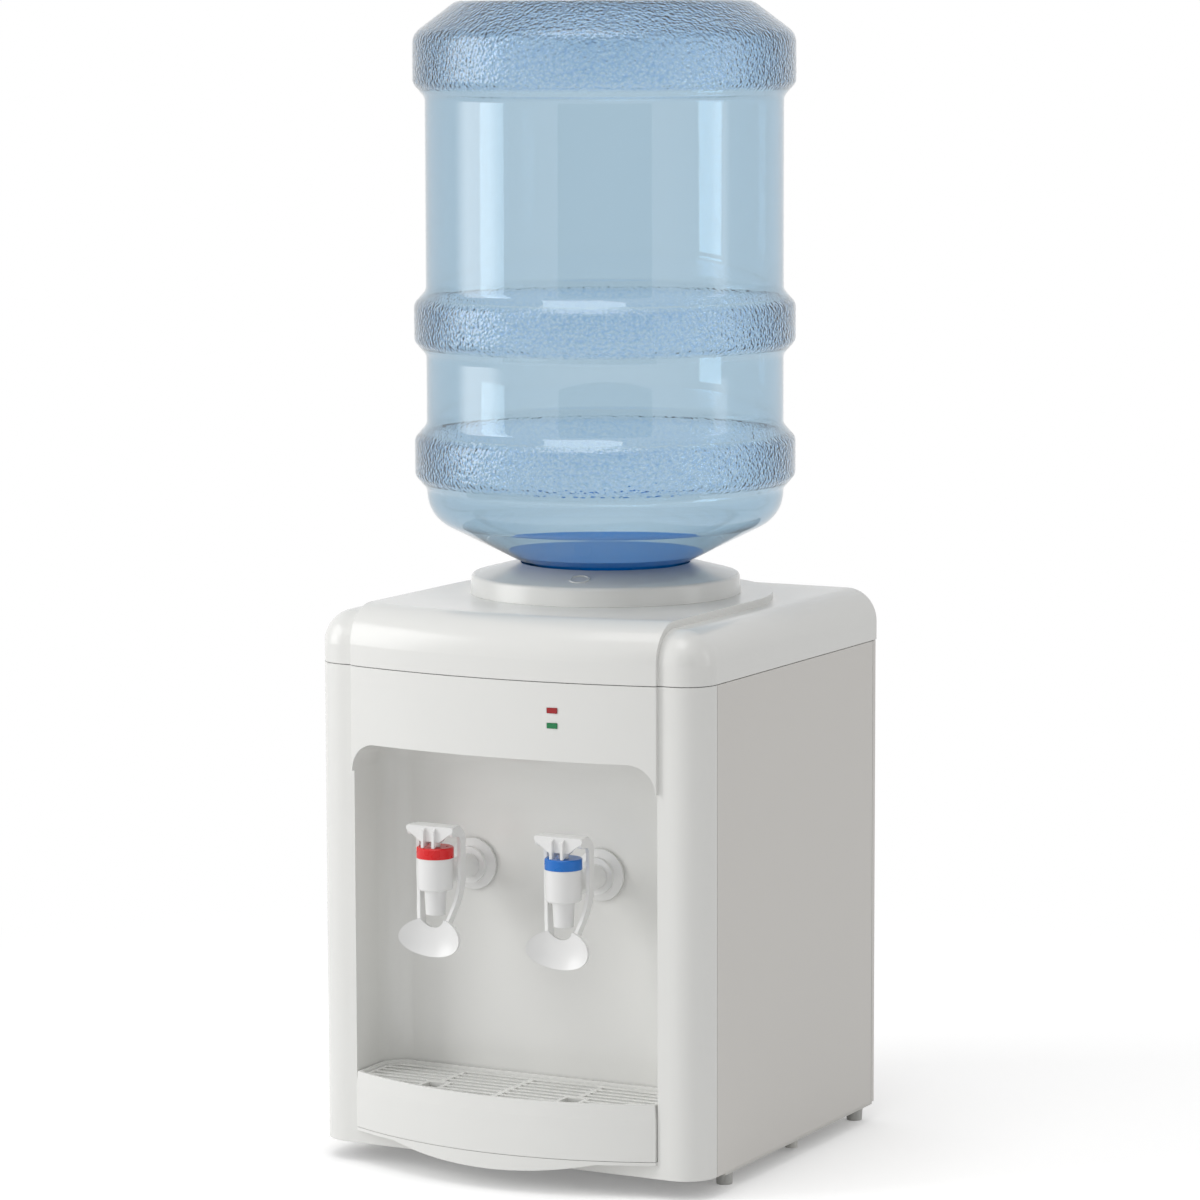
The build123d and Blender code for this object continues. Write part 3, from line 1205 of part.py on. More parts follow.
# Taps: the same set of pieces twice, hot on the left and cold on the right
for tap_name, tap_x in (("hot", -TAP_X), ("cold", TAP_X)):
    tap_axis = vertical(tap_x, TAP_Y)

    # Body: barrel with spout, and a stem to the wall flange and the thread behind it
    with BuildPart() as tap_body:
        with BuildSketch(upright(tap_x, TAP_Y)) as barrel:
            with BuildLine():
                Polyline(
                    (0, SPOUT_BOTTOM),
                    (SPOUT_TIP_R, SPOUT_BOTTOM),
                    (SPOUT_R, TAP_BODY_BOTTOM),
                    (TAP_BODY_LOW_R, TAP_BODY_BOTTOM),
                    (TAP_BODY_R, TAP_BODY_TOP),
                    (0, TAP_BODY_TOP),
                    close=True,
                )
            make_face()
            corner = barrel.vertices().sort_by_distance((TAP_BODY_LOW_R, TAP_BODY_BOTTOM))[0]
            fillet(corner, TAP_BODY_ROUND)
        revolve(axis=tap_axis)
        stem_axis = Axis((tap_x, TAP_Y, STEM_Z), (0, 1, 0))
        with BuildSketch(Plane(origin=(tap_x, TAP_Y, STEM_Z), x_dir=(0, 1, 0), z_dir=(1, 0, 0))):
            with BuildLine():
                Polyline(
                    (0, 0),
                    (0, STEM_R),
                    (FLANGE_FRONT - TAP_Y, STEM_R),
                    (FLANGE_FRONT - TAP_Y, FLANGE_NECK_R),
                    (FLANGE_FRONT + FLANGE_NECK_LENGTH - TAP_Y, FLANGE_NECK_R),
                    (FLANGE_BACK - FLANGE_EDGE - TAP_Y, FLANGE_R),
                    (FLANGE_BACK - TAP_Y, FLANGE_R),
                    (FLANGE_BACK - TAP_Y, THREAD_R),
                    (THREAD_END - TAP_Y, THREAD_R),
                    (THREAD_END - TAP_Y, SPIGOT_R),
                    (THREAD_END + SPIGOT_LENGTH - TAP_Y, SPIGOT_R),
                    (THREAD_END + SPIGOT_LENGTH - TAP_Y, 0),
                    close=True,
                )
            make_face()
        revolve(axis=stem_axis)
        with BuildSketch(Plane.XY.offset(TAP_BODY_TOP)):
            with Locations((tap_x, TAP_Y)):
                Circle(CHAMBER_R)
        extrude(amount=CHAMBER_FLOOR - TAP_BODY_TOP, mode=Mode.SUBTRACT)
        with BuildSketch(Plane.XY.offset(CHAMBER_FLOOR)):
            with Locations((tap_x, TAP_Y)):
                Circle(SEAT_HOLE_R)
        extrude(amount=-SEAT_THICK, mode=Mode.SUBTRACT)
        with BuildSketch(Plane.XY.offset(TAP_BODY_BOTTOM)):
            with Locations((tap_x, TAP_Y)):
                Circle(SPOUT_BORE_R)
        extrude(amount=-SPOUT_LENGTH, mode=Mode.SUBTRACT)
        with BuildSketch(facing(THREAD_END + SPIGOT_LENGTH)):
            with Locations((tap_x, STEM_Z)):
                Circle(SPIGOT_BORE_R)
        extrude(amount=THREAD_END + SPIGOT_LENGTH - TAP_Y, mode=Mode.SUBTRACT)
    save(tap_body, f"{tap_name}_tap_body")

    # Coloured bonnet: cap over the barrel with a skirt inside it and a spring pocket
    with BuildPart() as bonnet:
        skirt_r = CHAMBER_R - BONNET_FIT
        with BuildSketch(upright(tap_x, TAP_Y)):
            with BuildLine():
                Polyline(
                    (PLUNGER_R + PLUNGER_FIT, BONNET_TOP),
                    (BONNET_R - BONNET_EDGE, BONNET_TOP),
                    (BONNET_R, BONNET_TOP - BONNET_EDGE),
                    (BONNET_R, TAP_BODY_TOP),
                    (skirt_r, TAP_BODY_TOP),
                    (skirt_r, TAP_BODY_TOP - BONNET_SKIRT_H),
                    (skirt_r - BONNET_SKIRT_WALL, TAP_BODY_TOP - BONNET_SKIRT_H),
                    (skirt_r - BONNET_SKIRT_WALL, SPRING_TOP),
                    (PLUNGER_R + PLUNGER_FIT, SPRING_TOP),
                    close=True,
                )
            make_face()
        revolve(axis=tap_axis)
    save(bonnet, f"{tap_name}_bonnet")

    # Plunger: valve disc, round stem and a flat tongue for the lever pin
    with BuildPart() as plunger:
        with BuildSketch(Plane.XY.offset(DISC_BOTTOM)):
            with Locations((tap_x, TAP_Y)):
                Circle(PLUNGER_DISC_R)
        extrude(amount=PLUNGER_DISC_T)
        with BuildSketch(Plane.XY.offset(DISC_TOP)):
            with Locations((tap_x, TAP_Y)):
                Circle(PLUNGER_R)
        extrude(amount=BONNET_TOP - DISC_TOP)
        with BuildSketch(Plane.XY.offset(BONNET_TOP)):
            with Locations((tap_x, TAP_Y)):
                Circle(PLUNGER_R)
                Rectangle(TONGUE_WIDTH, 2 * PLUNGER_R, mode=Mode.INTERSECT)
        extrude(amount=PIN_ABOVE_BONNET + PLUNGER_R)
        with BuildSketch(Plane.YZ.offset(tap_x - TONGUE_WIDTH / 2)):
            with Locations((TAP_Y, PIN_Z)):
                Circle(PIN_R + PIN_FIT)
        extrude(amount=TONGUE_WIDTH, mode=Mode.SUBTRACT)
    save(plunger, f"{tap_name}_plunger")

    # Silicone valve under the disc
    with BuildPart() as valve:
        with BuildSketch(upright(tap_x, TAP_Y)):
            with BuildLine():
                Polyline(
                    (0, VALVE_BOTTOM),
                    (VALVE_R, VALVE_BOTTOM),
                    (VALVE_R, VALVE_BOTTOM + VALVE_LIP),
                    (PLUNGER_DISC_R - VALVE_LIP, DISC_BOTTOM),
                    (0, DISC_BOTTOM),
                    close=True,
                )
            make_face()
        revolve(axis=tap_axis)
    save(valve, f"{tap_name}_valve")

    # Return spring round the stem
    with BuildPart() as spring:
        with BuildSketch(Plane.XY.offset(DISC_TOP)):
            with Locations((tap_x, TAP_Y)):
                Circle(SPRING_R + SPRING_WIRE_R)
                Circle(SPRING_R - SPRING_WIRE_R, mode=Mode.SUBTRACT)
        extrude(amount=SPRING_TOP - DISC_TOP)
    save(spring, f"{tap_name}_spring")

    # Lever pin
    with BuildPart() as pin:
        pin_half = TONGUE_WIDTH / 2 + FIN_CLEAR + FIN_THICK
        with BuildSketch(Plane.YZ.offset(tap_x - pin_half)):
            with Locations((TAP_Y, PIN_Z)):
                Circle(PIN_R)
        extrude(amount=2 * pin_half)
    save(pin, f"{tap_name}_pin")

    # Paddle: oval cut from a thin spherical dish, with a round notch between the arms
    with BuildPart() as paddle:
        paddle_mid = PIN_Z - PADDLE_DROP
        with BuildSketch(facing(TAP_Y + 2 * ARM_BACK)):
            with Locations((tap_x, paddle_mid)):
                Ellipse(PADDLE_WIDTH / 2, PADDLE_HEIGHT / 2)
            with Locations((tap_x, paddle_mid + PADDLE_HEIGHT / 2 - NOTCH_DEPTH + NOTCH_HALF)):
                Circle(NOTCH_HALF, mode=Mode.SUBTRACT)
        extrude(amount=4 * ARM_BACK)
        with Locations((tap_x, TAP_Y - PADDLE_FORWARD - PADDLE_DISH_R + PADDLE_THICK, paddle_mid)):
            Sphere(PADDLE_DISH_R, mode=Mode.INTERSECT)
            Sphere(PADDLE_DISH_R - PADDLE_THICK, mode=Mode.SUBTRACT)

    # Lever: fins on the pin, a wing and web across the top, two arms and a dished paddle
    lever_top_z = PIN_Z + LEVER_TOP
    arm_z = lever_top_z - ARM_WIDTH / 2
    knee_z = PIN_Z - ARM_KNEE_DROP
    wing_front = TAP_Y - WING_BACK - WING_THICK
    paddle_y = TAP_Y - PADDLE_FORWARD
    paddle_z = PIN_Z - PADDLE_DROP
    dish_y = paddle_y - PADDLE_DISH_R + PADDLE_THICK
    with BuildPart() as lever:
        # Both arms from one side profile, then narrowed to a wishbone seen from the front
        with BuildSketch(Plane.YZ.offset(tap_x - WING_HALF)):
            with BuildLine():
                arm_line = FilletPolyline(
                    (wing_front + ARM_WIDTH / 2, arm_z),
                    (TAP_Y + ARM_BACK, arm_z),
                    (TAP_Y + ARM_BACK, knee_z),
                    (paddle_y, paddle_z + PADDLE_HEIGHT / 4),
                    radius=[ARM_BEND_R, ARM_SWEEP_R],
                )
                offset(arm_line, amount=ARM_WIDTH / 2, side=Side.BOTH)
            make_face()
        extrude(amount=2 * WING_HALF)
        with BuildSketch(facing(TAP_Y + 3 * ARM_BACK)):
            for side in (-1, 1):
                with BuildLine():
                    top_x = ARM_HALF + ARM_THICK / 2
                    low_x = ARM_LOW_HALF + ARM_THICK / 2
                    FilletPolyline(
                        (tap_x + side * top_x, lever_top_z),
                        (tap_x + side * top_x, knee_z),
                        (tap_x + side * low_x, paddle_z),
                        (tap_x + side * (low_x - ARM_THICK), paddle_z),
                        (tap_x + side * (top_x - ARM_THICK), knee_z),
                        (tap_x + side * (top_x - ARM_THICK), lever_top_z),
                        radius=[WISHBONE_R, ARM_THICK / 4, ARM_THICK / 4, WISHBONE_R],
                    )
                    inner_x = top_x - ARM_THICK
                    Line((tap_x + side * inner_x, lever_top_z), (tap_x + side * top_x, lever_top_z))
                make_face()
        extrude(amount=6 * ARM_BACK, mode=Mode.INTERSECT)
        with Locations((tap_x, dish_y, paddle_z)):
            Sphere(PADDLE_DISH_R - PADDLE_THICK, mode=Mode.SUBTRACT)
        # Fins that straddle the plunger and rest their heels on the bonnet
        for side in (-1, 1):
            fin_x = tap_x + side * (TONGUE_WIDTH / 2 + FIN_CLEAR + FIN_THICK / 2)
            with BuildSketch(Plane.YZ.offset(fin_x - FIN_THICK / 2)):
                with BuildLine():
                    Polyline(
                        (TAP_Y - HEEL_REACH, BONNET_TOP + HEEL_GAP),
                        (TAP_Y - HEEL_REACH, lever_top_z - WING_TIP),
                        (TAP_Y - WING_BACK, lever_top_z),
                        (TAP_Y + FIN_BACK, lever_top_z),
                        (TAP_Y + FIN_BACK, PIN_Z - FIN_BACK),
                        close=True,
                    )
                make_face()
                with Locations((TAP_Y, PIN_Z)):
                    Circle(PIN_R + PIN_FIT, mode=Mode.SUBTRACT)
            extrude(amount=FIN_THICK)
        # Wing and the web behind it
        with BuildSketch(facing(TAP_Y - WING_BACK)) as wing:
            with BuildLine():
                Polyline(
                    (tap_x - WING_HALF, lever_top_z),
                    (tap_x - WING_HALF, lever_top_z - WING_TIP),
                    (tap_x - WING_ROOT_HALF, lever_top_z - WING_DEPTH),
                    (tap_x + WING_ROOT_HALF, lever_top_z - WING_DEPTH),
                    (tap_x + WING_HALF, lever_top_z - WING_TIP),
                    (tap_x + WING_HALF, lever_top_z),
                    close=True,
                )
            make_face()
            tips = wing.vertices().group_by(Axis.X)
            fillet(tips[0] + tips[-1], WING_TIP_R)
        extrude(amount=WING_THICK)
        with BuildSketch(Plane.XY.offset(lever_top_z)):
            with Locations((tap_x, TAP_Y - WING_BACK)):
                Rectangle(2 * ARM_HALF, WING_BACK + TOP_WEB_BACK, align=(Align.CENTER, Align.MIN))
        extrude(amount=-TOP_WEB)
        add(paddle.part)
    save(lever, f"{tap_name}_lever")

with BuildPart() as tap_gaskets:
    with BuildSketch(facing(RECESS_BACK)):
        with Locations((-TAP_X, STEM_Z), (TAP_X, STEM_Z)):
            Circle(GASKET_R)
            Circle(THREAD_R + NUT_CLEAR, mode=Mode.SUBTRACT)
    extrude(amount=GASKET_THICK)
save(tap_gaskets, "tap_gaskets")

with BuildPart() as tap_nuts:
    with BuildSketch(facing(RECESS_INNER + NUT_THICK)):
        with Locations((-TAP_X, STEM_Z), (TAP_X, STEM_Z)):
            RegularPolygon(NUT_FLATS_R, 6, major_radius=False)
            Circle(THREAD_R + NUT_CLEAR, mode=Mode.SUBTRACT)
    extrude(amount=NUT_THICK)
save(tap_nuts, "tap_nuts")

# Indicator lamps: two light pipes through the fascia, on one small board
LAMP_FRONT = fascia_front(LAMP_X) - LAMP_PROUD
for lamp_row, lamp_name in enumerate(("heat_lamp", "ready_lamp")):
    with BuildPart() as lamp:
        with BuildSketch(facing(LAMP_FRONT + LAMP_LENGTH)):
            with Locations((LAMP_X, SEAM_Z - LAMP_UPPER_DROP - lamp_row * LAMP_PITCH)):
                Rectangle(LAMP_WIDTH, LAMP_HEIGHT)
        extrude(amount=LAMP_LENGTH)
    save(lamp, lamp_name)

with BuildPart() as lamp_board:
    with BuildSketch(facing(LAMP_FRONT + LAMP_LENGTH + BOARD_THICK)):
        with Locations((LAMP_X, SEAM_Z - LAMP_UPPER_DROP - LAMP_PITCH / 2)):
            Rectangle(BOARD_WIDTH, BOARD_HEIGHT)
    extrude(amount=BOARD_THICK)
save(lamp_board, "lamp_board")

# Rear switch: bezelled housing with a rocker on two stub axles
with BuildPart() as switch_housing:
    with BuildSketch(facing(REAR_Y + SWITCH_BEZEL_T)):
        with Locations((SWITCH_X, SWITCH_Z)):
            Rectangle(SWITCH_WIDTH + 2 * SWITCH_BEZEL, SWITCH_HEIGHT + 2 * SWITCH_BEZEL)
    extrude(amount=SWITCH_BEZEL_T)
    with BuildSketch(facing(REAR_Y)):
        with Locations((SWITCH_X, SWITCH_Z)):
            Rectangle(SWITCH_WIDTH, SWITCH_HEIGHT)
    extrude(amount=SWITCH_BODY)
    with BuildSketch(facing(REAR_Y + SWITCH_BEZEL_T)):
        with Locations((SWITCH_X, SWITCH_Z)):
            Rectangle(ROCKER_WIDTH + 2 * ROCKER_CLEAR, ROCKER_HEIGHT + 4 * ROCKER_CLEAR)
    extrude(amount=SWITCH_BEZEL_T + ROCKER_DEPTH, mode=Mode.SUBTRACT)
    with BuildSketch(Plane.YZ.offset(SWITCH_X - ROCKER_WIDTH / 2 - AXLE_STUB)):
        with Locations((REAR_Y, SWITCH_Z)):
            Circle(AXLE_R + AXLE_FIT)
    extrude(amount=ROCKER_WIDTH + 2 * AXLE_STUB, mode=Mode.SUBTRACT)
    with BuildSketch(facing(REAR_Y - SWITCH_BODY)):
        with Locations((SWITCH_X, SWITCH_Z)):
            with GridLocations(1, 2 * BLADE_GAP, 1, 2):
                Rectangle(BLADE_WIDTH, BLADE_THICK)
    extrude(amount=BLADE_LENGTH)
save(switch_housing, "switch_housing")

with BuildPart() as switch_rocker:
    half = ROCKER_HEIGHT / 2
    swing = radians(ROCKER_SWING)
    with BuildSketch(Plane.YZ.offset(SWITCH_X - ROCKER_WIDTH / 2)):
        with BuildLine():
            Polyline(
                (REAR_Y + SWITCH_BEZEL_T, SWITCH_Z + half),
                (REAR_Y + SWITCH_BEZEL_T, SWITCH_Z),
                (REAR_Y + SWITCH_BEZEL_T + half * sin(swing), SWITCH_Z - half * cos(swing)),
                (REAR_Y - AXLE_R, SWITCH_Z - half),
                (REAR_Y - ROCKER_BELLY, SWITCH_Z),
                (REAR_Y - AXLE_R, SWITCH_Z + half),
                close=True,
            )
        make_face()
    extrude(amount=ROCKER_WIDTH)
    with BuildSketch(Plane.YZ.offset(SWITCH_X - ROCKER_WIDTH / 2 - AXLE_STUB)):
        with Locations((REAR_Y, SWITCH_Z)):
            Circle(AXLE_R)
    extrude(amount=ROCKER_WIDTH + 2 * AXLE_STUB)
save(switch_rocker, "switch_rocker")

# Cord gland and the terminal block inside
with BuildPart() as cord_gland:
    with BuildSketch(facing(REAR_Y + GLAND_FLANGE_T)):
        with Locations((GLAND_X, GLAND_Z)):
            Circle(GLAND_FLANGE_R)
    extrude(amount=GLAND_FLANGE_T)
    with BuildSketch(facing(REAR_Y)):
        with Locations((GLAND_X, GLAND_Z)):
            Circle(GLAND_R)
    extrude(amount=WALL + GLAND_TAIL)
    with BuildSketch(facing(REAR_Y + GLAND_FLANGE_T)):
        with Locations((GLAND_X, GLAND_Z)):
            Circle(GLAND_BORE_R)
    extrude(amount=GLAND_FLANGE_T + WALL + GLAND_TAIL, mode=Mode.SUBTRACT)
save(cord_gland, "cord_gland")

with BuildPart() as terminal_block:
    with BuildSketch(Plane.XY.offset(PANEL_BOTTOM)):
        with Locations((GLAND_X, BLOCK_Y)):
            Rectangle(BLOCK_WIDTH, BLOCK_DEPTH)
    extrude(amount=BLOCK_HEIGHT)
    with BuildSketch(Plane.XY.offset(PANEL_BOTTOM + BLOCK_HEIGHT)):
        with Locations((GLAND_X, BLOCK_Y)):
            with GridLocations(BLOCK_WIDTH / BLOCK_WAYS, 1, BLOCK_WAYS, 1):
                Circle(BLOCK_WAY_R)
    extrude(amount=-BLOCK_WAY_DEPTH, mode=Mode.SUBTRACT)
save(terminal_block, "terminal_block")
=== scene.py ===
"""Looks of the countertop water dispenser.

Finishes of the CAD nodes, the clear bottle with its water, the wire springs, the rear screws and the studio.
"""

import logging
import math
from dataclasses import dataclass
from enum import Enum

import bmesh
import bpy
from mathutils import Matrix, Quaternion, Vector


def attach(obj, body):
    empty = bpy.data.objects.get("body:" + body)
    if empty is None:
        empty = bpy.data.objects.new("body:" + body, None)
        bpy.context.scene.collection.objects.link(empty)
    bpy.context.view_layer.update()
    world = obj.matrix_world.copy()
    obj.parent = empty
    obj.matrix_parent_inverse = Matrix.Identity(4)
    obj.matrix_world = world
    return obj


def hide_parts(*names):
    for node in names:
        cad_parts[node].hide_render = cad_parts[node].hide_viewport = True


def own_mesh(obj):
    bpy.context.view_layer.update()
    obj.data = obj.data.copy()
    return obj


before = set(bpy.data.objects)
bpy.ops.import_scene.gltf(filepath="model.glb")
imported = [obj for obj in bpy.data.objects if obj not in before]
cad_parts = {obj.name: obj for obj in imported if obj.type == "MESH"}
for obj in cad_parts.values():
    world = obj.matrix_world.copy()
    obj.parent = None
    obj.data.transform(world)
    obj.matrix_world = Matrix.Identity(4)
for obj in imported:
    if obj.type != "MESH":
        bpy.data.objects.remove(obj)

logging.basicConfig(level=logging.INFO, format="%(levelname)s %(message)s")
log = logging.getLogger("dispenser")

MM = 0.001
WHITE = (1.0, 1.0, 1.0, 1.0)
EDGE_SAMPLES = 4
ON_AXIS_M = 1e-7
BOARD_HALF = 0.5
BOTTLE_AXIS_Y_MM = 19.0


def srgb(code: str) -> tuple:
    """Turn a hex sRGB colour into linear RGBA.

    Args:
        code: six hex digits, with or without a leading hash.

    Returns:
        Red, green, blue and alpha, linear, each from 0 to 1.
    """
    digits = code.lstrip("#")
    channels = [int(digits[i : i + 2], 16) / 255 for i in (0, 2, 4)]
    linear = [c / 12.92 if c <= 0.04045 else ((c + 0.055) / 1.055) ** 2.4 for c in channels]
    return (*linear, 1.0)


def blank_tree(owner: bpy.types.ID) -> bpy.types.NodeTree:
    """Switch a material or world to nodes and empty its tree.

    Args:
        owner: the material or world.

    Returns:
        Its node tree, without nodes.
    """
    owner.use_nodes = True
    owner.node_tree.nodes.clear()
    return owner.node_tree


class Kind(Enum):
    """How light meets a finish."""

    SOLID = "solid"
    METAL = "metal"
    CLEAR = "clear"


@dataclass(frozen=True)
class Finish:
    """One real material: its colour, gloss and the size of its surface pattern."""

    name: str
    colour: str
    roughness: float
    kind: Kind = Kind.SOLID
    tone_mm: float = 60.0
    tone_shift: float = 0.03
    grain_mm: float = 1.2
    grain_depth_mm: float = 0.004
    edge_mm: float = 0.5
    ior: float = 1.5
    depth_mm: float = 4.0
    clarity: float = 1.0
    specular: float = 0.5
    glow: float = 0.0
    gloss_shift: float = 0.1

    def material(self) -> bpy.types.Material:
        """Build the node tree once and reuse it.

        Returns:
            The Blender material of this finish.
        """
        known = bpy.data.materials.get(self.name)
        if known is not None:
            return known
        made = bpy.data.materials.new(self.name)
        tree = blank_tree(made)
        shader = tree.nodes.new("ShaderNodeBsdfPrincipled")
        out = tree.nodes.new("ShaderNodeOutputMaterial")
        tree.links.new(shader.outputs["BSDF"], out.inputs["Surface"])
        place = tree.nodes.new("ShaderNodeTexCoord")
        shader.inputs["IOR"].default_value = self.ior
        shader.inputs["Metallic"].default_value = 1.0 if self.kind is Kind.METAL else 0.0
        if self.kind is Kind.CLEAR:
            self._clear(tree, shader, out)
        else:
            self._tone(tree, shader, place)
        if self.glow:
            shader.inputs["Emission Color"].default_value = srgb(self.colour)
            shader.inputs["Emission Strength"].default_value = self.glow
        self._surface(tree, shader, place)
        log.info("finish %s", self.name)
        return made

    def _clear(self, tree: bpy.types.NodeTree, shader: bpy.types.Node, out: bpy.types.Node) -> None:
        """See-through body whose colour deepens with thickness.

        Args:
            tree: node tree to add to.
            shader: its Principled node.
            out: its output node.
        """
        cloudy = srgb(self.colour) if self.clarity < 1.0 else WHITE
        shader.inputs["Base Color"].default_value = cloudy
        shader.inputs["Transmission Weight"].default_value = self.clarity
        shader.inputs["Specular IOR Level"].default_value = self.specular
        shader.inputs["Roughness"].default_value = self.roughness
        absorb = tree.nodes.new("ShaderNodeVolumeAbsorption")
        absorb.inputs["Color"].default_value = srgb(self.colour)
        absorb.inputs["Density"].default_value = 1.0 / (self.depth_mm * MM)
        tree.links.new(absorb.outputs["Volume"], out.inputs["Volume"])

    def _tone(self, tree: bpy.types.NodeTree, shader: bpy.types.Node, place: bpy.types.Node) -> None:
        """Slow drift of colour and gloss, as on a moulded or coated surface.

        Args:
            tree: node tree to add to.
            shader: its Principled node.
            place: its texture coordinates.
        """
        cloud = tree.nodes.new("ShaderNodeTexNoise")
        cloud.inputs["Scale"].default_value = 1.0 / (self.tone_mm * MM)
        cloud.inputs["Detail"].default_value = 2.0
        tree.links.new(place.outputs["Object"], cloud.inputs["Vector"])
        mix = tree.nodes.new("ShaderNodeMix")
        mix.data_type = "RGBA"
        base = srgb(self.colour)
        mix.inputs["A"].default_value = tuple(c * (1 - self.tone_shift) for c in base[:3]) + (1.0,)
        mix.inputs["B"].default_value = base
        tree.links.new(cloud.outputs["Fac"], mix.inputs["Factor"])
        tree.links.new(mix.outputs["Result"], shader.inputs["Base Color"])
        gloss = tree.nodes.new("ShaderNodeMapRange")
        gloss.inputs["To Min"].default_value = self.roughness * (1 - self.gloss_shift)
        gloss.inputs["To Max"].default_value = self.roughness * (1 + self.gloss_shift)
        tree.links.new(cloud.outputs["Fac"], gloss.inputs["Value"])
        tree.links.new(gloss.outputs["Result"], shader.inputs["Roughness"])

    def _surface(self, tree: bpy.types.NodeTree, shader: bpy.types.Node, place: bpy.types.Node) -> None:
        """Fine grain, over edges that are eased by a small radius.

        Args:
            tree: node tree to add to.
            shader: its Principled node.
            place: its texture coordinates.
        """
        grain = tree.nodes.new("ShaderNodeTexNoise")
        grain.inputs["Scale"].default_value = 1.0 / (self.grain_mm * MM)
        grain.inputs["Detail"].default_value = 1.0
        tree.links.new(place.outputs["Object"], grain.inputs["Vector"])
        bump = tree.nodes.new("ShaderNodeBump")
        bump.inputs["Strength"].default_value = 1.0
        bump.inputs["Distance"].default_value = self.grain_depth_mm * MM
        tree.links.new(grain.outputs["Fac"], bump.inputs["Height"])
        if self.edge_mm and self.kind is not Kind.CLEAR:
            ease = tree.nodes.new("ShaderNodeBevel")
            ease.samples = EDGE_SAMPLES
            ease.inputs["Radius"].default_value = self.edge_mm * MM
            tree.links.new(ease.outputs["Normal"], bump.inputs["Normal"])
        tree.links.new(bump.outputs["Normal"], shader.inputs["Normal"])


@dataclass(frozen=True)
class Pebbled(Finish):
    """A clear finish whose mould is pebbled on the bands and the cap of the bottle."""

    pebble_mm: float = 2.3
    pebble_depth_mm: float = 0.6
    warp_ratio: float = 3.0
    pebble_colour: str = "2AA6F4"
    stain_share: float = 0.34
    axis_y_mm: float = BOTTLE_AXIS_Y_MM
    band_r_mm: tuple = (130.5, 132.5)
    cap_z_mm: tuple = (753.0, 757.0)

    def _surface(self, tree: bpy.types.NodeTree, shader: bpy.types.Node, place: bpy.types.Node) -> None:
        """Pebbles, tinted deeper, where the radius says band or the height says cap; smooth elsewhere.

        Args:
            tree: node tree to add to.
            shader: its Principled node.
            place: its texture coordinates.
        """
        add = tree.nodes.new
        link = tree.links.new
        split = add("ShaderNodeSeparateXYZ")
        link(place.outputs["Object"], split.inputs[0])
        flat = add("ShaderNodeCombineXYZ")
        shift = add("ShaderNodeMath")
        shift.operation = "SUBTRACT"
        shift.inputs[1].default_value = self.axis_y_mm * MM
        link(split.outputs["Y"], shift.inputs[0])
        link(split.outputs["X"], flat.inputs["X"])
        link(shift.outputs[0], flat.inputs["Y"])
        reach = add("ShaderNodeVectorMath")
        reach.operation = "LENGTH"
        link(flat.outputs[0], reach.inputs[0])
        masks = []
        for value, span in ((reach.outputs["Value"], self.band_r_mm), (split.outputs["Z"], self.cap_z_mm)):
            ramp = add("ShaderNodeMapRange")
            ramp.interpolation_type = "SMOOTHSTEP"
            ramp.inputs["From Min"].default_value = span[0] * MM
            ramp.inputs["From Max"].default_value = span[1] * MM
            link(value, ramp.inputs["Value"])
            masks.append(ramp.outputs["Result"])
        both = add("ShaderNodeMath")
        both.operation = "MAXIMUM"
        link(masks[0], both.inputs[0])
        link(masks[1], both.inputs[1])
        warp = add("ShaderNodeTexNoise")
        warp.inputs["Scale"].default_value = 1.0 / (self.warp_ratio * self.pebble_mm * MM)
        link(place.outputs["Object"], warp.inputs["Vector"])
        drift = add("ShaderNodeVectorMath")
        drift.operation = "MULTIPLY_ADD"
        drift.inputs[1].default_value = (self.pebble_mm * MM,) * 3
        link(warp.outputs["Color"], drift.inputs[0])
        link(place.outputs["Object"], drift.inputs[2])
        pebble = add("ShaderNodeTexVoronoi")
        pebble.feature = "SMOOTH_F1"
        pebble.inputs["Scale"].default_value = 1.0 / (self.pebble_mm * MM)
        link(drift.outputs["Vector"], pebble.inputs["Vector"])
        height = add("ShaderNodeMath")
        height.operation = "MULTIPLY"
        link(pebble.outputs["Distance"], height.inputs[0])
        link(both.outputs[0], height.inputs[1])
        rough = add("ShaderNodeBump")
        rough.invert = True
        rough.inputs["Strength"].default_value = 1.0
        rough.inputs["Distance"].default_value = self.pebble_depth_mm * MM
        link(height.outputs[0], rough.inputs["Height"])
        link(rough.outputs["Normal"], shader.inputs["Normal"])
        stain = add("ShaderNodeMix")
        stain.data_type = "RGBA"
        stain.inputs["A"].default_value = WHITE
        stain.inputs["B"].default_value = srgb(self.pebble_colour)
        amount = add("ShaderNodeMath")
        amount.operation = "MULTIPLY"
        link(height.outputs[0], amount.inputs[0])
        amount.inputs[1].default_value = self.stain_share
        link(amount.outputs[0], stain.inputs["Factor"])
        link(stain.outputs["Result"], shader.inputs["Base Color"])


# Glossy white ABS: bright, slightly warm, with a soft reflection of the room
ABS_WHITE = Finish("abs_gloss_white", "EEEEEB", 0.19)
# The same ABS on the slats of the grille, whose edges are too fine to ease
ABS_SLATS = Finish("abs_white_slats", "EEEEEB", 0.24, edge_mm=0.0)
# White pre-painted sheet of the side and rear panels: flatter than the mouldings; a slightly warm off-white,
# darkened a little further as painted shade of the cabinet's shaded right side
PAINTED_SHEET = Finish(
    "painted_sheet_white", "DFDCD7", 0.34, tone_mm=120.0, grain_mm=2.0, grain_depth_mm=0.008
)
# White powder coat under the cabinet: fine orange peel
POWDER_COAT = Finish("powder_coat_white", "DEDDD8", 0.5, grain_mm=1.6, grain_depth_mm=0.03)
# Pale grey rubber of the feet
FOOT_RUBBER = Finish("rubber_pale_grey", "CFCFCC", 0.7, grain_mm=0.8, grain_depth_mm=0.02)
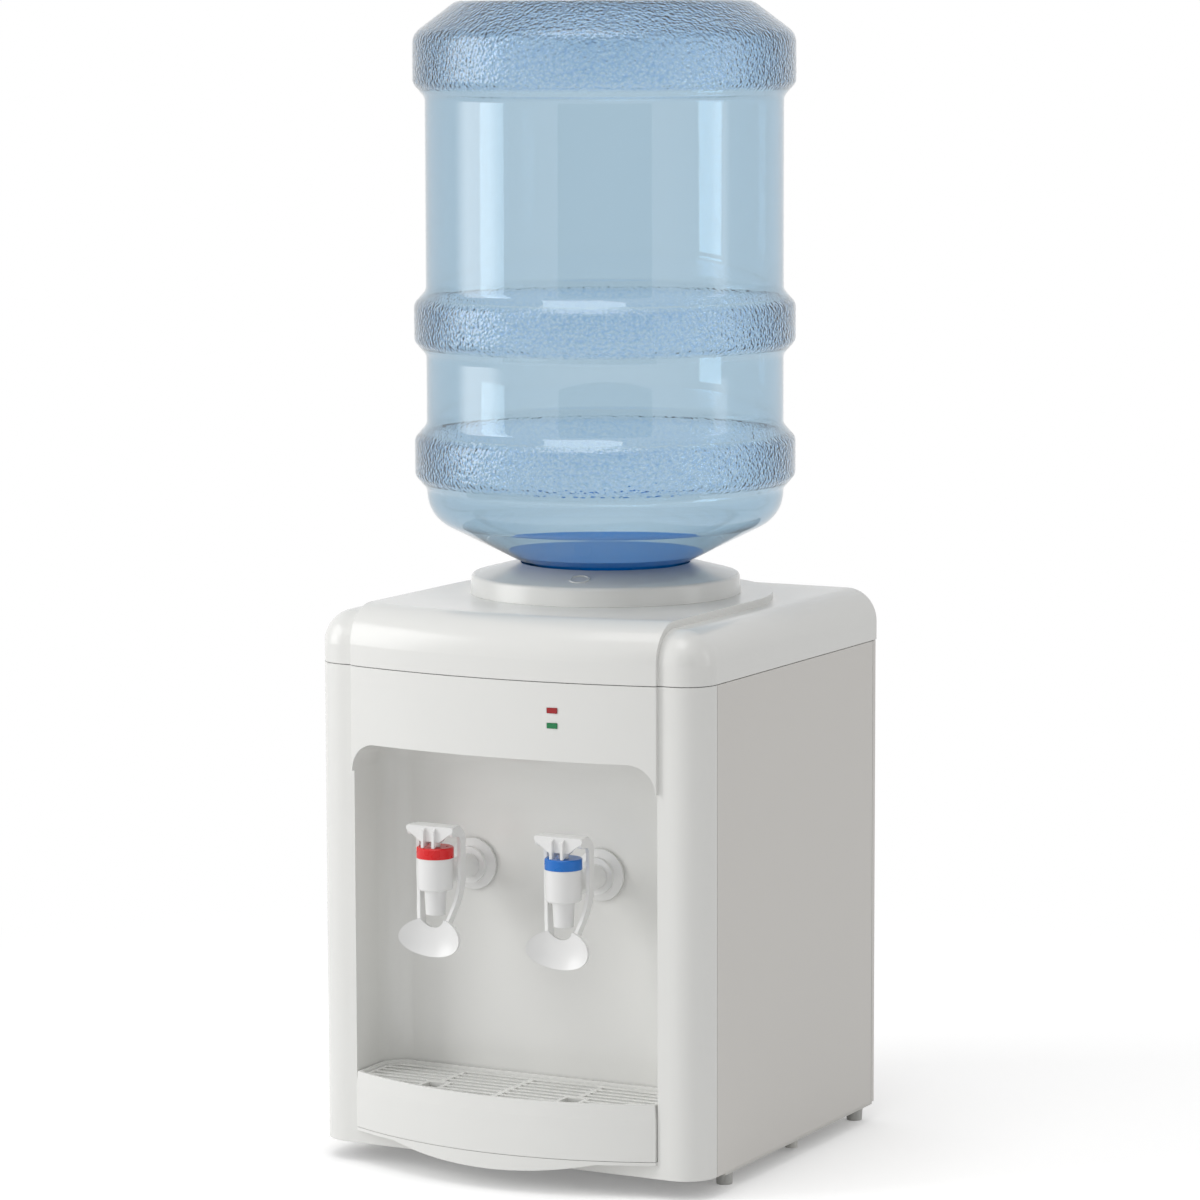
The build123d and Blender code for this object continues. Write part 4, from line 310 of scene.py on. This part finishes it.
# White acetal of the taps: a touch creamier and softer than the cabinet
TAP_ACETAL = Finish("acetal_white", "F0F0EF", 0.3, edge_mm=0.4)
# Signal red and blue bonnets that tell hot from cold
BONNET_RED = Finish("abs_red", "E40912", 0.28, tone_mm=15.0)
BONNET_BLUE = Finish("abs_blue", "0070CC", 0.28, tone_mm=15.0)
# Clear light blue polycarbonate: pale, bluer and glittering where its mould is pebbled
POLYCARBONATE = Pebbled("polycarbonate_light_blue", "8CBFD5", 0.02, Kind.CLEAR, depth_mm=2.6, ior=1.585)
# Water left in the bottle: deep blue, little shine; its glow stands in for light carried in the tinted wall
WATER = Finish(
    "water",
    "0892E6",
    0.25,
    Kind.CLEAR,
    grain_mm=40.0,
    ior=1.333,
    depth_mm=25.0,
    clarity=0.12,
    specular=0.1,
    glow=0.22,
)
# Red and green lamp lenses, faintly lit from behind
LENS_RED = Finish("lens_red", "A01218", 0.2, glow=0.04, tone_mm=6.0, edge_mm=0.3)
LENS_GREEN = Finish("lens_green", "0A7A45", 0.2, glow=0.03, tone_mm=6.0, edge_mm=0.3)
# Natural polypropylene of the reservoir and baffle
POLYPROPYLENE = Finish("polypropylene_natural", "E6E8E6", 0.45)
# Milky silicone of hoses, seals and valves
SILICONE = Finish("silicone_milky", "DEDED8", 0.55, grain_mm=2.0, grain_depth_mm=0.01)
# Plain stainless sheet of the tank and pins
STAINLESS = Finish("stainless_sheet", "B9B9B7", 0.3, Kind.METAL, grain_mm=0.6, grain_depth_mm=0.004)
# Zinc plating of brackets, springs and screws, slightly blue
ZINC = Finish("zinc_plate", "A9ADB3", 0.36, Kind.METAL, tone_mm=12.0, tone_shift=0.15)
# Heat-tinted steel round the heater
HEATER_STEEL = Finish("heater_sheath_steel", "8A8278", 0.45, Kind.METAL, tone_mm=20.0, tone_shift=0.2)
# Black closed-cell foam of the tank jacket
FOAM = Finish("elastomer_foam_black", "2B2B2D", 0.9, grain_mm=1.5, grain_depth_mm=0.2)
# Dark phenolic of thermostats and terminal block
PHENOLIC = Finish("phenolic_brown", "3A2A22", 0.5)
# Green laminate of the lamp board
LAMINATE = Finish("epoxy_laminate_green", "1F6B3A", 0.4)
# Black nylon of the switch and cord gland
NYLON_BLACK = Finish("nylon_black", "17181A", 0.42, grain_mm=0.9, grain_depth_mm=0.02)

NODE_FINISH = {
    "top_cover": ABS_WHITE,
    "front_panel": ABS_WHITE,
    "bottle_collar": ABS_WHITE,
    "drip_tray": ABS_WHITE,
    "drip_grille": ABS_SLATS,
    "side_panel_left": PAINTED_SHEET,
    "side_panel_right": PAINTED_SHEET,
    "rear_panel": PAINTED_SHEET,
    "base_plate": POWDER_COAT,
    "feet": FOOT_RUBBER,
    "reservoir": POLYPROPYLENE,
    "baffle": POLYPROPYLENE,
    "reservoir_seal": SILICONE,
    "reservoir_shelf": ZINC,
    "tank_stand": ZINC,
    "hot_tank": STAINLESS,
    "heater_band": HEATER_STEEL,
    "jacket_front": FOAM,
    "jacket_back": FOAM,
    "control_thermostat": PHENOLIC,
    "cutout_thermostat": PHENOLIC,
    "terminal_block": PHENOLIC,
    "cold_hose": SILICONE,
    "hot_hose": SILICONE,
    "feed_hose": SILICONE,
    "vent_hose": SILICONE,
    "drain_hose": SILICONE,
    "drain_outlet": TAP_ACETAL,
    "drain_cap": TAP_ACETAL,
    "tap_gaskets": SILICONE,
    "tap_nuts": TAP_ACETAL,
    "heat_lamp": LENS_RED,
    "ready_lamp": LENS_GREEN,
    "lamp_board": LAMINATE,
    "switch_housing": NYLON_BLACK,
    "switch_rocker": NYLON_BLACK,
    "cord_gland": NYLON_BLACK,
    "hot_bonnet": BONNET_RED,
    "cold_bonnet": BONNET_BLUE,
    "hot_tap_body": TAP_ACETAL,
    "cold_tap_body": TAP_ACETAL,
    "hot_plunger": TAP_ACETAL,
    "cold_plunger": TAP_ACETAL,
    "hot_lever": TAP_ACETAL,
    "cold_lever": TAP_ACETAL,
    "hot_valve": SILICONE,
    "cold_valve": SILICONE,
    "hot_pin": STAINLESS,
    "cold_pin": STAINLESS,
}


def rounded(points: list, radii: dict, step_deg: float = 9.0) -> list:
    """Round the corners of an open outline with tangent arcs.

    Args:
        points: corners as (r, z) pairs.
        radii: corner index to rounding radius.
        step_deg: turn between two points of an arc.

    Returns:
        Points of the rounded outline.
    """
    made = []
    for i, here in enumerate(points):
        radius = radii.get(i, 0.0)
        if not radius or i in (0, len(points) - 1):
            made.append(Vector(here))
            continue
        corner = Vector(here)
        back = (Vector(points[i - 1]) - corner).normalized()
        ahead = (Vector(points[i + 1]) - corner).normalized()
        half = math.acos(max(-1.0, min(1.0, back.dot(ahead)))) / 2
        reach = radius / math.tan(half)
        centre = corner + (back + ahead).normalized() * (radius / math.sin(half))
        start = corner + back * reach - centre
        turn = start.angle_signed(corner + ahead * reach - centre)
        count = max(2, math.ceil(abs(math.degrees(turn)) / step_deg))
        for k in range(count + 1):
            a = -turn * k / count
            cos, sin = math.cos(a), math.sin(a)
            made.append(centre + Vector((start.x * cos - start.y * sin, start.x * sin + start.y * cos)))
    return made


def offset_outline(points: list, amount: float) -> list:
    """Shift an outline sideways by a wall thickness, to the left of its run.

    Args:
        points: outline as (r, z) vectors.
        amount: distance to shift.

    Returns:
        The shifted points.
    """
    made = []
    for i, here in enumerate(points):
        before = points[max(i - 1, 0)]
        after = points[min(i + 1, len(points) - 1)]
        run = (after - before).normalized()
        made.append(here + Vector((-run.y, run.x)) * amount)
    return made


def placed(name: str, data: bpy.types.ID) -> bpy.types.Object:
    """Make an object of some data and link it to the scene.

    Args:
        name: name of the new object.
        data: its mesh, curve, camera or light.

    Returns:
        The new object.
    """
    made = bpy.data.objects.new(name, data)
    bpy.context.scene.collection.objects.link(made)
    return made


def mesh_object(name: str, bm: bmesh.types.BMesh) -> bpy.types.Object:
    """Store a finished bmesh as an object of the scene.

    Args:
        name: name of the new object.
        bm: the mesh; it is freed.

    Returns:
        The new object.
    """
    mesh = bpy.data.meshes.new(name)
    bmesh.ops.recalc_face_normals(bm, faces=bm.faces)
    bm.to_mesh(mesh)
    bm.free()
    return placed(name, mesh)


def settled(source: bpy.types.Object) -> bpy.types.Mesh:
    """Turn what an object's modifiers or curve settings show into a plain mesh.

    Args:
        source: the object.

    Returns:
        A new mesh.
    """
    graph = bpy.context.evaluated_depsgraph_get()
    return bpy.data.meshes.new_from_object(source.evaluated_get(graph))


def bridge(bm: bmesh.types.BMesh, rings: list, steps: int) -> None:
    """Join each ring of vertices to the next with faces.

    Args:
        bm: mesh that holds the vertices.
        rings: lists of vertices; a ring of one vertex closes to a point.
        steps: faces round the circle.
    """
    for low, high in zip(rings, rings[1:]):
        for k in range(steps):
            j = (k + 1) % steps
            corners = [low[k % len(low)], low[j % len(low)], high[j % len(high)], high[k % len(high)]]
            unique = list(dict.fromkeys(corners))
            if len(unique) > 2:
                bm.faces.new(unique)


def lathe(name: str, outline: list, axis: Vector, segments: int) -> bpy.types.Object:
    """Turn an outline about a vertical axis into a smooth mesh.

    Args:
        name: name of the new object.
        outline: (r, z) points; a point with r = 0 closes on the axis.
        axis: a point on the vertical axis.
        segments: steps round the circle.

    Returns:
        The new object, at the origin.
    """
    bm = bmesh.new()
    rings = []
    for r, z in outline:
        if abs(r) < ON_AXIS_M:
            rings.append([bm.verts.new((axis.x, axis.y, z))])
            continue
        turns = [2 * math.pi * k / segments for k in range(segments)]
        rings.append([bm.verts.new((axis.x + r * math.cos(a), axis.y + r * math.sin(a), z)) for a in turns])
    bridge(bm, rings, segments)
    made = mesh_object(name, bm)
    made.data.shade_smooth()
    return made


def repeat(
    name: str, places: list, template: bpy.types.Object, finish: Finish, size: float
) -> bpy.types.Object:
    """Copy a template to many places with a Geometry Nodes tree, then keep the plain mesh.

    Args:
        name: name of the finished object.
        places: points where copies go, in metres.
        template: object that is copied; it is removed afterwards.
        finish: material of all copies.
        size: scale of each copy.

    Returns:
        One mesh object holding every copy.
    """
    seeds = bpy.data.meshes.new(name + "_seeds")
    seeds.from_pydata([tuple(p) for p in places], [], [])
    carrier = placed(name + "_carrier", seeds)
    group = bpy.data.node_groups.new(name + "_nodes", "GeometryNodeTree")
    group.interface.new_socket("Geometry", in_out="INPUT", socket_type="NodeSocketGeometry")
    item = group.interface.new_socket("Template", in_out="INPUT", socket_type="NodeSocketObject")
    scale = group.interface.new_socket("Size", in_out="INPUT", socket_type="NodeSocketFloat")
    paint = group.interface.new_socket("Finish", in_out="INPUT", socket_type="NodeSocketMaterial")
    group.interface.new_socket("Geometry", in_out="OUTPUT", socket_type="NodeSocketGeometry")
    start = group.nodes.new("NodeGroupInput")
    end = group.nodes.new("NodeGroupOutput")
    info = group.nodes.new("GeometryNodeObjectInfo")
    spread = group.nodes.new("GeometryNodeInstanceOnPoints")
    real = group.nodes.new("GeometryNodeRealizeInstances")
    coat = group.nodes.new("GeometryNodeSetMaterial")
    link = group.links.new
    link(start.outputs["Template"], info.inputs["Object"])
    link(start.outputs["Geometry"], spread.inputs["Points"])
    link(info.outputs["Geometry"], spread.inputs["Instance"])
    link(start.outputs["Size"], spread.inputs["Scale"])
    link(spread.outputs["Instances"], real.inputs["Geometry"])
    link(real.outputs["Geometry"], coat.inputs["Geometry"])
    link(start.outputs["Finish"], coat.inputs["Material"])
    link(coat.outputs["Geometry"], end.inputs["Geometry"])
    modifier = carrier.modifiers.new("repeat", "NODES")
    modifier.node_group = group
    modifier[item.identifier] = template
    modifier[scale.identifier] = size
    modifier[paint.identifier] = finish.material()
    bpy.context.view_layer.update()
    mesh = settled(carrier)
    mesh.name = name
    carrier.modifiers.remove(modifier)
    bpy.data.objects.remove(carrier)
    bpy.data.objects.remove(template)
    log.info("repeat %s: %d copies", name, len(places))
    return placed(name, mesh)


@dataclass
class Cabinet:
    """All CAD nodes that are shown as they are, with smooth shading and finishes."""

    smooth_deg: float = 32.0
    creased: tuple = ("drip_tray",)
    crease_deg: float = 3.0

    def dress(self) -> None:
        """Shade every CAD node and give it its finish."""
        for name, finish in NODE_FINISH.items():
            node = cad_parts[name]
            node.data.materials.clear()
            node.data.materials.append(finish.material())
            node.data.shade_smooth()
            angle = self.crease_deg if name in self.creased else self.smooth_deg
            node.data.set_sharp_from_angle(angle=math.radians(angle))
            log.info("node %s wears %s", name, finish.name)


@dataclass
class Bottle:
    """Clear bottle with three pebbled bands and the water left in it, sizes in millimetres."""

    axis_y: float = BOTTLE_AXIS_Y_MM
    seat_z: float = 418.3
    seat_r: float = 60.0
    slope_deg: float = 26.6
    waist_r: float = 126.5
    band_r: float = 135.0
    slant: float = 10.0
    soft: float = 7.0
    shoulder: float = 26.0
    height: float = 395.5
    bands: tuple = (157.0, 62.0)
    band_height: float = 26.0
    top_band: float = 338.0
    top_height: float = 34.0
    top_flat_r: float = 104.0
    top_round: float = 13.0
    punt: tuple = (80.0, 66.0, 10.5, 6.0)
    neck_r: float = 27.5
    neck_length: float = 54.0
    neck_round: float = 5.0
    wall: float = 1.6
    water_level: float = 425.0
    water_gap: float = 0.15
    water_segments: int = 96
    segments: int = 180
    crease_deg: float = 40.0

    def outline(self) -> list:
        """Outer outline from the punt's middle down to the neck's mouth.

        Returns:
            Points as (r, z) vectors in metres.
        """
        slope = math.tan(math.radians(self.slope_deg))
        punt_r, floor_r, depth, punt_round = self.punt
        corners = [
            (0.0, self.height - depth, 0.0),
            (floor_r, self.height - depth, punt_round),
            (punt_r, self.height, punt_round),
            (self.top_flat_r, self.height, self.top_round),
            (self.band_r, self.top_band + self.top_height, self.top_round),
            (self.band_r, self.top_band, self.soft),
            (self.waist_r, self.top_band - self.slant, self.soft),
        ]
        for z in self.bands:
            corners += [
                (self.waist_r, z + self.band_height + self.slant, self.soft),
                (self.band_r, z + self.band_height, self.soft),
                (self.band_r, z, self.soft),
                (self.waist_r, z - self.slant, self.soft),
            ]
        neck_z = (self.neck_r - self.seat_r) * slope
        corners += [
            (self.waist_r, (self.waist_r - self.seat_r) * slope, self.shoulder),
            (self.neck_r, neck_z, self.neck_round),
            (self.neck_r, neck_z - self.neck_length, 0.0),
        ]
        points = [(r * MM, (z + self.seat_z) * MM) for r, z, _ in corners]
        radii = {i: c[2] * MM for i, c in enumerate(corners)}
        return rounded(points, radii)

    def build(self) -> None:
        """Make the shell and the water and hang them on the bottle's body."""
        axis = Vector((0.0, self.axis_y * MM, 0.0))
        outer = self.outline()
        inner = offset_outline(outer, -self.wall * MM)
        inner[0] = Vector((0.0, inner[0].y))
        shell = lathe("bottle_shell", outer + inner[::-1], axis, self.segments)
        shell.data.set_sharp_from_angle(angle=math.radians(self.crease_deg))
        shell.data.materials.append(POLYCARBONATE.material())
        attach(shell, "bottle")
        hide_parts("bottle")
        log.info("bottle shell: %d faces", len(shell.data.polygons))
        self._water(axis, inner)

    def _water(self, axis: Vector, inner: list) -> None:
        """Fill the cone and neck up to the level.

        Args:
            axis: a point on the bottle's axis.
            inner: inner outline of the shell, from the top down.
        """
        level = self.water_level * MM
        skin = [p + Vector((-self.water_gap * MM, 0.0)) for p in inner if p.x > 0]
        wet = [p for p in skin if p.y <= level]
        dry = skin[len(skin) - len(wet) - 1]
        brim = dry.lerp(wet[0], (dry.y - level) / (dry.y - wet[0].y))
        outline = [Vector((0.0, level)), brim, *wet, Vector((0.0, wet[-1].y))]
        water = lathe("bottle_water", outline, axis, self.water_segments)
        water.data.set_sharp_from_angle(angle=math.radians(self.crease_deg))
        water.data.materials.append(WATER.material())
        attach(water, "bottle")
        log.info("water up to z = %.3f m", level)


@dataclass
class Springs:
    """Wire springs inside the two bonnets, sizes in millimetres."""

    x: float = 50.3
    y: float = -141.0
    bottom: float = 212.05
    top: float = 229.0
    coil_r: float = 5.6
    wire_r: float = 0.6
    turns: int = 6
    steps: int = 20
    wire_steps: int = 2
    travel: float = 3.07

    def build(self) -> None:
        """Wind one spring per tap."""
        for tap, side in (("hot", -1), ("cold", 1)):
            curve = bpy.data.curves.new(f"{tap}_wire", "CURVE")
            curve.dimensions = "3D"
            curve.bevel_depth = self.wire_r * MM
            curve.bevel_resolution = self.wire_steps
            curve.use_fill_caps = True
            line = curve.splines.new("POLY")
            count = self.turns * self.steps + 1
            line.points.add(count - 1)
            low = self.bottom + self.wire_r
            high = self.top - self.wire_r
            for k in range(count):
                a = 2 * math.pi * k / self.steps
                z = low + (high - low) * k / (count - 1)
                spot = (side * self.x + self.coil_r * math.cos(a), self.y + self.coil_r * math.sin(a), z)
                line.points[k].co = (*[c * MM for c in spot], 1.0)
            wound = placed(f"{tap}_wire", curve)
            mesh = settled(wound)
            bpy.data.objects.remove(wound)
            coil = placed(f"{tap}_coil", mesh)
            coil.data.materials.clear()
            coil.data.materials.append(ZINC.material())
            coil.data.shade_smooth()
            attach(coil, "cabinet")
            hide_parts(f"{tap}_spring")
            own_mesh(coil)
            log.info("spring %s: %d turns", tap, self.turns)


@dataclass
class RearScrews:
    """Pan-head screws of the rear panel, sizes in millimetres."""

    x: float = 145.0
    heights: tuple = (40.0, 184.0, 328.0)
    y: float = 151.0
    head_r: float = 3.4
    head_h: float = 1.8
    shank_r: float = 1.6
    length: float = 11.0
    tip: float = 1.0
    dome: tuple = ((0.0, 1.0), (0.45, 0.97), (0.75, 0.82), (0.93, 0.5), (1.0, 0.12), (1.0, 0.0))
    steps: int = 32
    smooth_deg: float = 35.0
    slot_half: float = 2.0
    slot_width: float = 0.45
    slot_depth: float = 1.0

    def template(self) -> bpy.types.Object:
        """One screw at the origin, its head towards the back.

        Returns:
            The template object.
        """
        bm = bmesh.new()
        outline = [(r * self.head_r, h * self.head_h) for r, h in self.dome]
        outline += [(self.shank_r, 0.0), (self.shank_r, self.tip - self.length), (0.0, -self.length)]
        turns = [2 * math.pi * k / self.steps for k in range(self.steps)]
        rings = []
        for r, h in outline:
            if r == 0.0:
                rings.append([bm.verts.new((0.0, h * MM, 0.0))])
                continue
            rings.append([bm.verts.new((r * MM * math.cos(a), h * MM, r * MM * math.sin(a))) for a in turns])
        bridge(bm, rings, self.steps)
        screw = mesh_object("screw", bm)
        cutter_mesh = bmesh.new()
        for size in ((self.slot_half, self.slot_width), (self.slot_width, self.slot_half)):
            shape = Matrix.Diagonal((2 * size[0] * MM, 2 * self.slot_depth * MM, 2 * size[1] * MM, 1.0))
            spot = Matrix.Translation((0, self.head_h * MM, 0))
            bmesh.ops.create_cube(cutter_mesh, size=1.0, matrix=spot @ shape)
        cutter = mesh_object("screw_cross", cutter_mesh)
        cut = screw.modifiers.new("cross", "BOOLEAN")
        cut.object = cutter
        cut.use_self = True
        mesh = settled(screw)
        screw.modifiers.remove(cut)
        screw.data = mesh
        bpy.data.objects.remove(cutter)
        mesh.shade_smooth()
        mesh.set_sharp_from_angle(angle=math.radians(self.smooth_deg))
        return screw

    def build(self) -> None:
        """Put a screw at each boss."""
        places = [(s * self.x * MM, self.y * MM, z * MM) for s in (-1, 1) for z in self.heights]
        screws = repeat("rear_screw_set", places, self.template(), ZINC, 1.0)
        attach(screws, "cabinet")
        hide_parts("rear_screws")


def aimed(place: tuple, target: tuple) -> Quaternion:
    """Turn of a lamp or board that stands at one point and faces another.

    Args:
        place: where it stands.
        target: the point it faces.

    Returns:
        The rotation.
    """
    return (Vector(target) - Vector(place)).to_track_quat("-Z", "Y")


@dataclass(frozen=True)
class SoftBox:
    """Lamp with a width and height in metres, aimed at a point; power in watts."""

    name: str
    place: tuple
    target: tuple
    size: tuple
    power: float
    mirrored: bool = False

    def build(self) -> None:
        """Hang the lamp."""
        data = bpy.data.lights.new(self.name, "AREA")
        data.shape = "RECTANGLE"
        data.size, data.size_y = self.size
        data.energy = self.power
        lamp = placed(self.name, data)
        lamp.location = self.place
        lamp.rotation_mode = "QUATERNION"
        lamp.rotation_quaternion = aimed(self.place, self.target)
        lamp.visible_glossy = self.mirrored
        log.info("lamp %s at %s", self.name, self.place)


@dataclass(frozen=True)
class Board:
    """Glowing board that only reflections see, in metres.

    Each side edge fades out over a share, soft, of the width.
    """

    name: str
    place: tuple
    target: tuple
    size: tuple
    glow: float
    colour: str = "FFFFFF"
    soft: float = 0.36

    def build(self) -> None:
        """Stand the board and hide it from all rays but mirrored ones."""
        bm = bmesh.new()
        bmesh.ops.create_grid(bm, x_segments=1, y_segments=1, size=BOARD_HALF)
        board = mesh_object(self.name, bm)
        turn = aimed(self.place, self.target)
        board.matrix_world = Matrix.LocRotScale(Vector(self.place), turn, Vector((*self.size, 1.0)))
        for ray in ("visible_camera", "visible_diffuse", "visible_transmission", "visible_shadow"):
            setattr(board, ray, False)
        board.data.materials.append(self._material())

    def _material(self) -> bpy.types.Material:
        """Even glow that fades to clear at the sides.

        Returns:
            The new material.
        """
        made = bpy.data.materials.new(f"board_{self.name}")
        tree = blank_tree(made)
        add = tree.nodes.new
        link = tree.links.new
        lit = add("ShaderNodeEmission")
        lit.inputs["Color"].default_value = srgb(self.colour)
        lit.inputs["Strength"].default_value = self.glow
        out = add("ShaderNodeOutputMaterial")
        if not self.soft:
            link(lit.outputs[0], out.inputs["Surface"])
            return made
        spot = add("ShaderNodeTexCoord")
        split = add("ShaderNodeSeparateXYZ")
        link(spot.outputs["Object"], split.inputs[0])
        across = add("ShaderNodeMath")
        across.operation = "ABSOLUTE"
        link(split.outputs["X"], across.inputs[0])
        fade = add("ShaderNodeMapRange")
        fade.interpolation_type = "SMOOTHSTEP"
        fade.inputs["From Min"].default_value = BOARD_HALF - self.soft
        fade.inputs["From Max"].default_value = BOARD_HALF
        link(across.outputs[0], fade.inputs["Value"])
        gone = add("ShaderNodeBsdfTransparent")
        mix = add("ShaderNodeMixShader")
        link(fade.outputs["Result"], mix.inputs["Fac"])
        link(lit.outputs[0], mix.inputs[1])
        link(gone.outputs[0], mix.inputs[2])
        link(mix.outputs[0], out.inputs["Surface"])
        return made


# Large key from the front left, a weak fill from the right, and a soft top light
SOFT_BOXES = (
    SoftBox("key", (-2.3, -2.0, 1.25), (0.0, 0.0, 0.3), (1.1, 2.2), 34.0),
    SoftBox("side", (2.75, 0.75, 1.15), (0.0, 0.0, 0.5), (0.9, 1.9), 1.7),
    SoftBox("top", (0.0, -0.9, 2.8), (0.0, 0.0, 0.4), (1.4, 1.4), 13.6, mirrored=True),
)
# What glossy surfaces see of the key and the fill: soft-edged boards about where those lamps hang
GLOWS = (
    Board("key_glow", (-2.66, -1.5, 1.25), (0.0, 0.0, 0.3), (2.8, 2.4), 3.8),
    Board("side_glow", (2.75, 0.75, 1.15), (0.0, 0.0, 0.5), (1.0, 1.9), 2.1),
)


@dataclass
class Studio:
    """White floor, soft room light and the camera of the photograph, in metres."""

    place: tuple = (1.57478, -3.00271, 0.81204)
    ahead: tuple = (-0.45969623, 0.87950459, -0.12308965)
    up: tuple = (-0.05456839, 0.11036699, 0.99239177)
    lens_mm: float = 144.502
    sensor_mm: float = 36.0
    sight: float = 50.0
    room: float = 0.52
    flag_back: float = 1.35
    flag_z: float = 1.2
    flag_size: tuple = (5.2, 4.4)
    flag_colour: str = "6E7478"
    floor_half: float = 12.0
    paper: str = "F4F4F4"
    floor_glow: float = 0.42
    # Painted shade on the floor: the share of glow left where it is occluded, and how far that occlusion
    # reaches
    painted_shade_share: float = 0.45
    painted_shade_reach: float = 0.16
    near: float = 0.42
    far: float = 0.95

    def build(self) -> None:
        """Set the camera, the room, the lamps, the boards and the floor."""
        self._camera()
        self._room()
        for box in SOFT_BOXES:
            box.build()
        back = Vector(self.place) * self.flag_back
        spot = (back.x, back.y, self.flag_z)
        flag = Board("flag", spot, (0.0, 0.0, self.flag_z), self.flag_size, 1.0, self.flag_colour, soft=0.0)
        for board in (flag, *GLOWS):
            board.build()
        self._floor()

    def _camera(self) -> None:
        """Camera fitted to the photograph."""
        data = bpy.data.cameras.new("camera")
        data.lens = self.lens_mm
        data.sensor_width = self.sensor_mm
        data.clip_end = self.sight
        camera = placed("camera", data)
        look = Vector(self.ahead).normalized()
        top = Vector(self.up).normalized()
        side = look.cross(top).normalized()
        turn = Matrix((side, side.cross(look), -look)).transposed()
        camera.matrix_world = Matrix.Translation(self.place) @ turn.to_4x4()
        bpy.context.scene.camera = camera

    def _room(self) -> None:
        """White room that the camera and reflections see, dimmer for the soft light it sheds."""
        world = bpy.data.worlds.new("room")
        bpy.context.scene.world = world
        tree = blank_tree(world)
        out = tree.nodes.new("ShaderNodeOutputWorld")
        seen = tree.nodes.new("ShaderNodeBackground")
        shed = tree.nodes.new("ShaderNodeBackground")
        mix = tree.nodes.new("ShaderNodeMixShader")
        seen.inputs["Color"].default_value = WHITE
        seen.inputs["Strength"].default_value = 1.0
        shed.inputs["Color"].default_value = WHITE
        shed.inputs["Strength"].default_value = self.room
        tree.links.new(self._looked_at(tree), mix.inputs["Fac"])
        tree.links.new(shed.outputs[0], mix.inputs[1])
        tree.links.new(seen.outputs[0], mix.inputs[2])
        tree.links.new(mix.outputs[0], out.inputs["Surface"])

    @staticmethod
    def _looked_at(tree: bpy.types.NodeTree) -> bpy.types.NodeSocket:
        """Tell rays that show a surface from rays that only carry its light.

        Args:
            tree: node tree to add to.

        Returns:
            A socket that is 1 for camera, mirror and see-through rays.
        """
        path = tree.nodes.new("ShaderNodeLightPath")
        last = path.outputs["Is Camera Ray"]
        for kind in ("Is Glossy Ray", "Is Transmission Ray"):
            join = tree.nodes.new("ShaderNodeMath")
            join.operation = "MAXIMUM"
            tree.links.new(last, join.inputs[0])
            tree.links.new(path.outputs[kind], join.inputs[1])
            last = join.outputs[0]
        return last

    def _floor(self) -> None:
        """Large white floor that takes a soft shadow near the object, partly real from the lamps and partly
        painted shade from an occlusion-dimmed glow, and fades to plain white.
        """
        bm = bmesh.new()
        bmesh.ops.create_grid(bm, x_segments=1, y_segments=1, size=self.floor_half)
        floor = mesh_object("floor", bm)
        made = bpy.data.materials.new("studio_paper_white")
        tree = blank_tree(made)
        add = tree.nodes.new
        link = tree.links.new
        out = add("ShaderNodeOutputMaterial")
        paper = add("ShaderNodeBsdfDiffuse")
        paper.inputs["Color"].default_value = srgb(self.paper)
        glow = add("ShaderNodeEmission")
        # Painted shade: the floor's glow is dimmed by ambient occlusion under and near the object
        shade = add("ShaderNodeAmbientOcclusion")
        shade.inputs["Distance"].default_value = self.painted_shade_reach
        open_glow = add("ShaderNodeMapRange")
        open_glow.inputs["To Min"].default_value = self.floor_glow * self.painted_shade_share
        open_glow.inputs["To Max"].default_value = self.floor_glow
        link(shade.outputs["AO"], open_glow.inputs["Value"])
        link(open_glow.outputs["Result"], glow.inputs["Strength"])
        lit = add("ShaderNodeAddShader")
        link(paper.outputs[0], lit.inputs[0])
        link(glow.outputs[0], lit.inputs[1])
        plain = add("ShaderNodeEmission")
        plain.inputs["Strength"].default_value = 1.0
        place = add("ShaderNodeTexCoord")
        away = add("ShaderNodeVectorMath")
        away.operation = "LENGTH"
        link(place.outputs["Object"], away.inputs[0])
        fade = add("ShaderNodeMapRange")
        fade.interpolation_type = "SMOOTHSTEP"
        fade.inputs["From Min"].default_value = self.near
        fade.inputs["From Max"].default_value = self.far
        link(away.outputs["Value"], fade.inputs["Value"])
        spread = add("ShaderNodeMixShader")
        link(fade.outputs["Result"], spread.inputs["Fac"])
        link(lit.outputs[0], spread.inputs[1])
        link(plain.outputs[0], spread.inputs[2])
        seen = add("ShaderNodeMixShader")
        link(self._looked_at(tree), seen.inputs["Fac"])
        link(paper.outputs[0], seen.inputs[1])
        link(spread.outputs[0], seen.inputs[2])
        link(seen.outputs[0], out.inputs["Surface"])
        floor.data.materials.append(made)


def main() -> None:
    """Build the looks."""
    scene = bpy.context.scene
    scene.view_settings.view_transform = "Standard"
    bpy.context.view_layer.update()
    Cabinet().dress()
    Bottle().build()
    Springs().build()
    RearScrews().build()
    Studio().build()


if __name__ == "__main__":
    main()
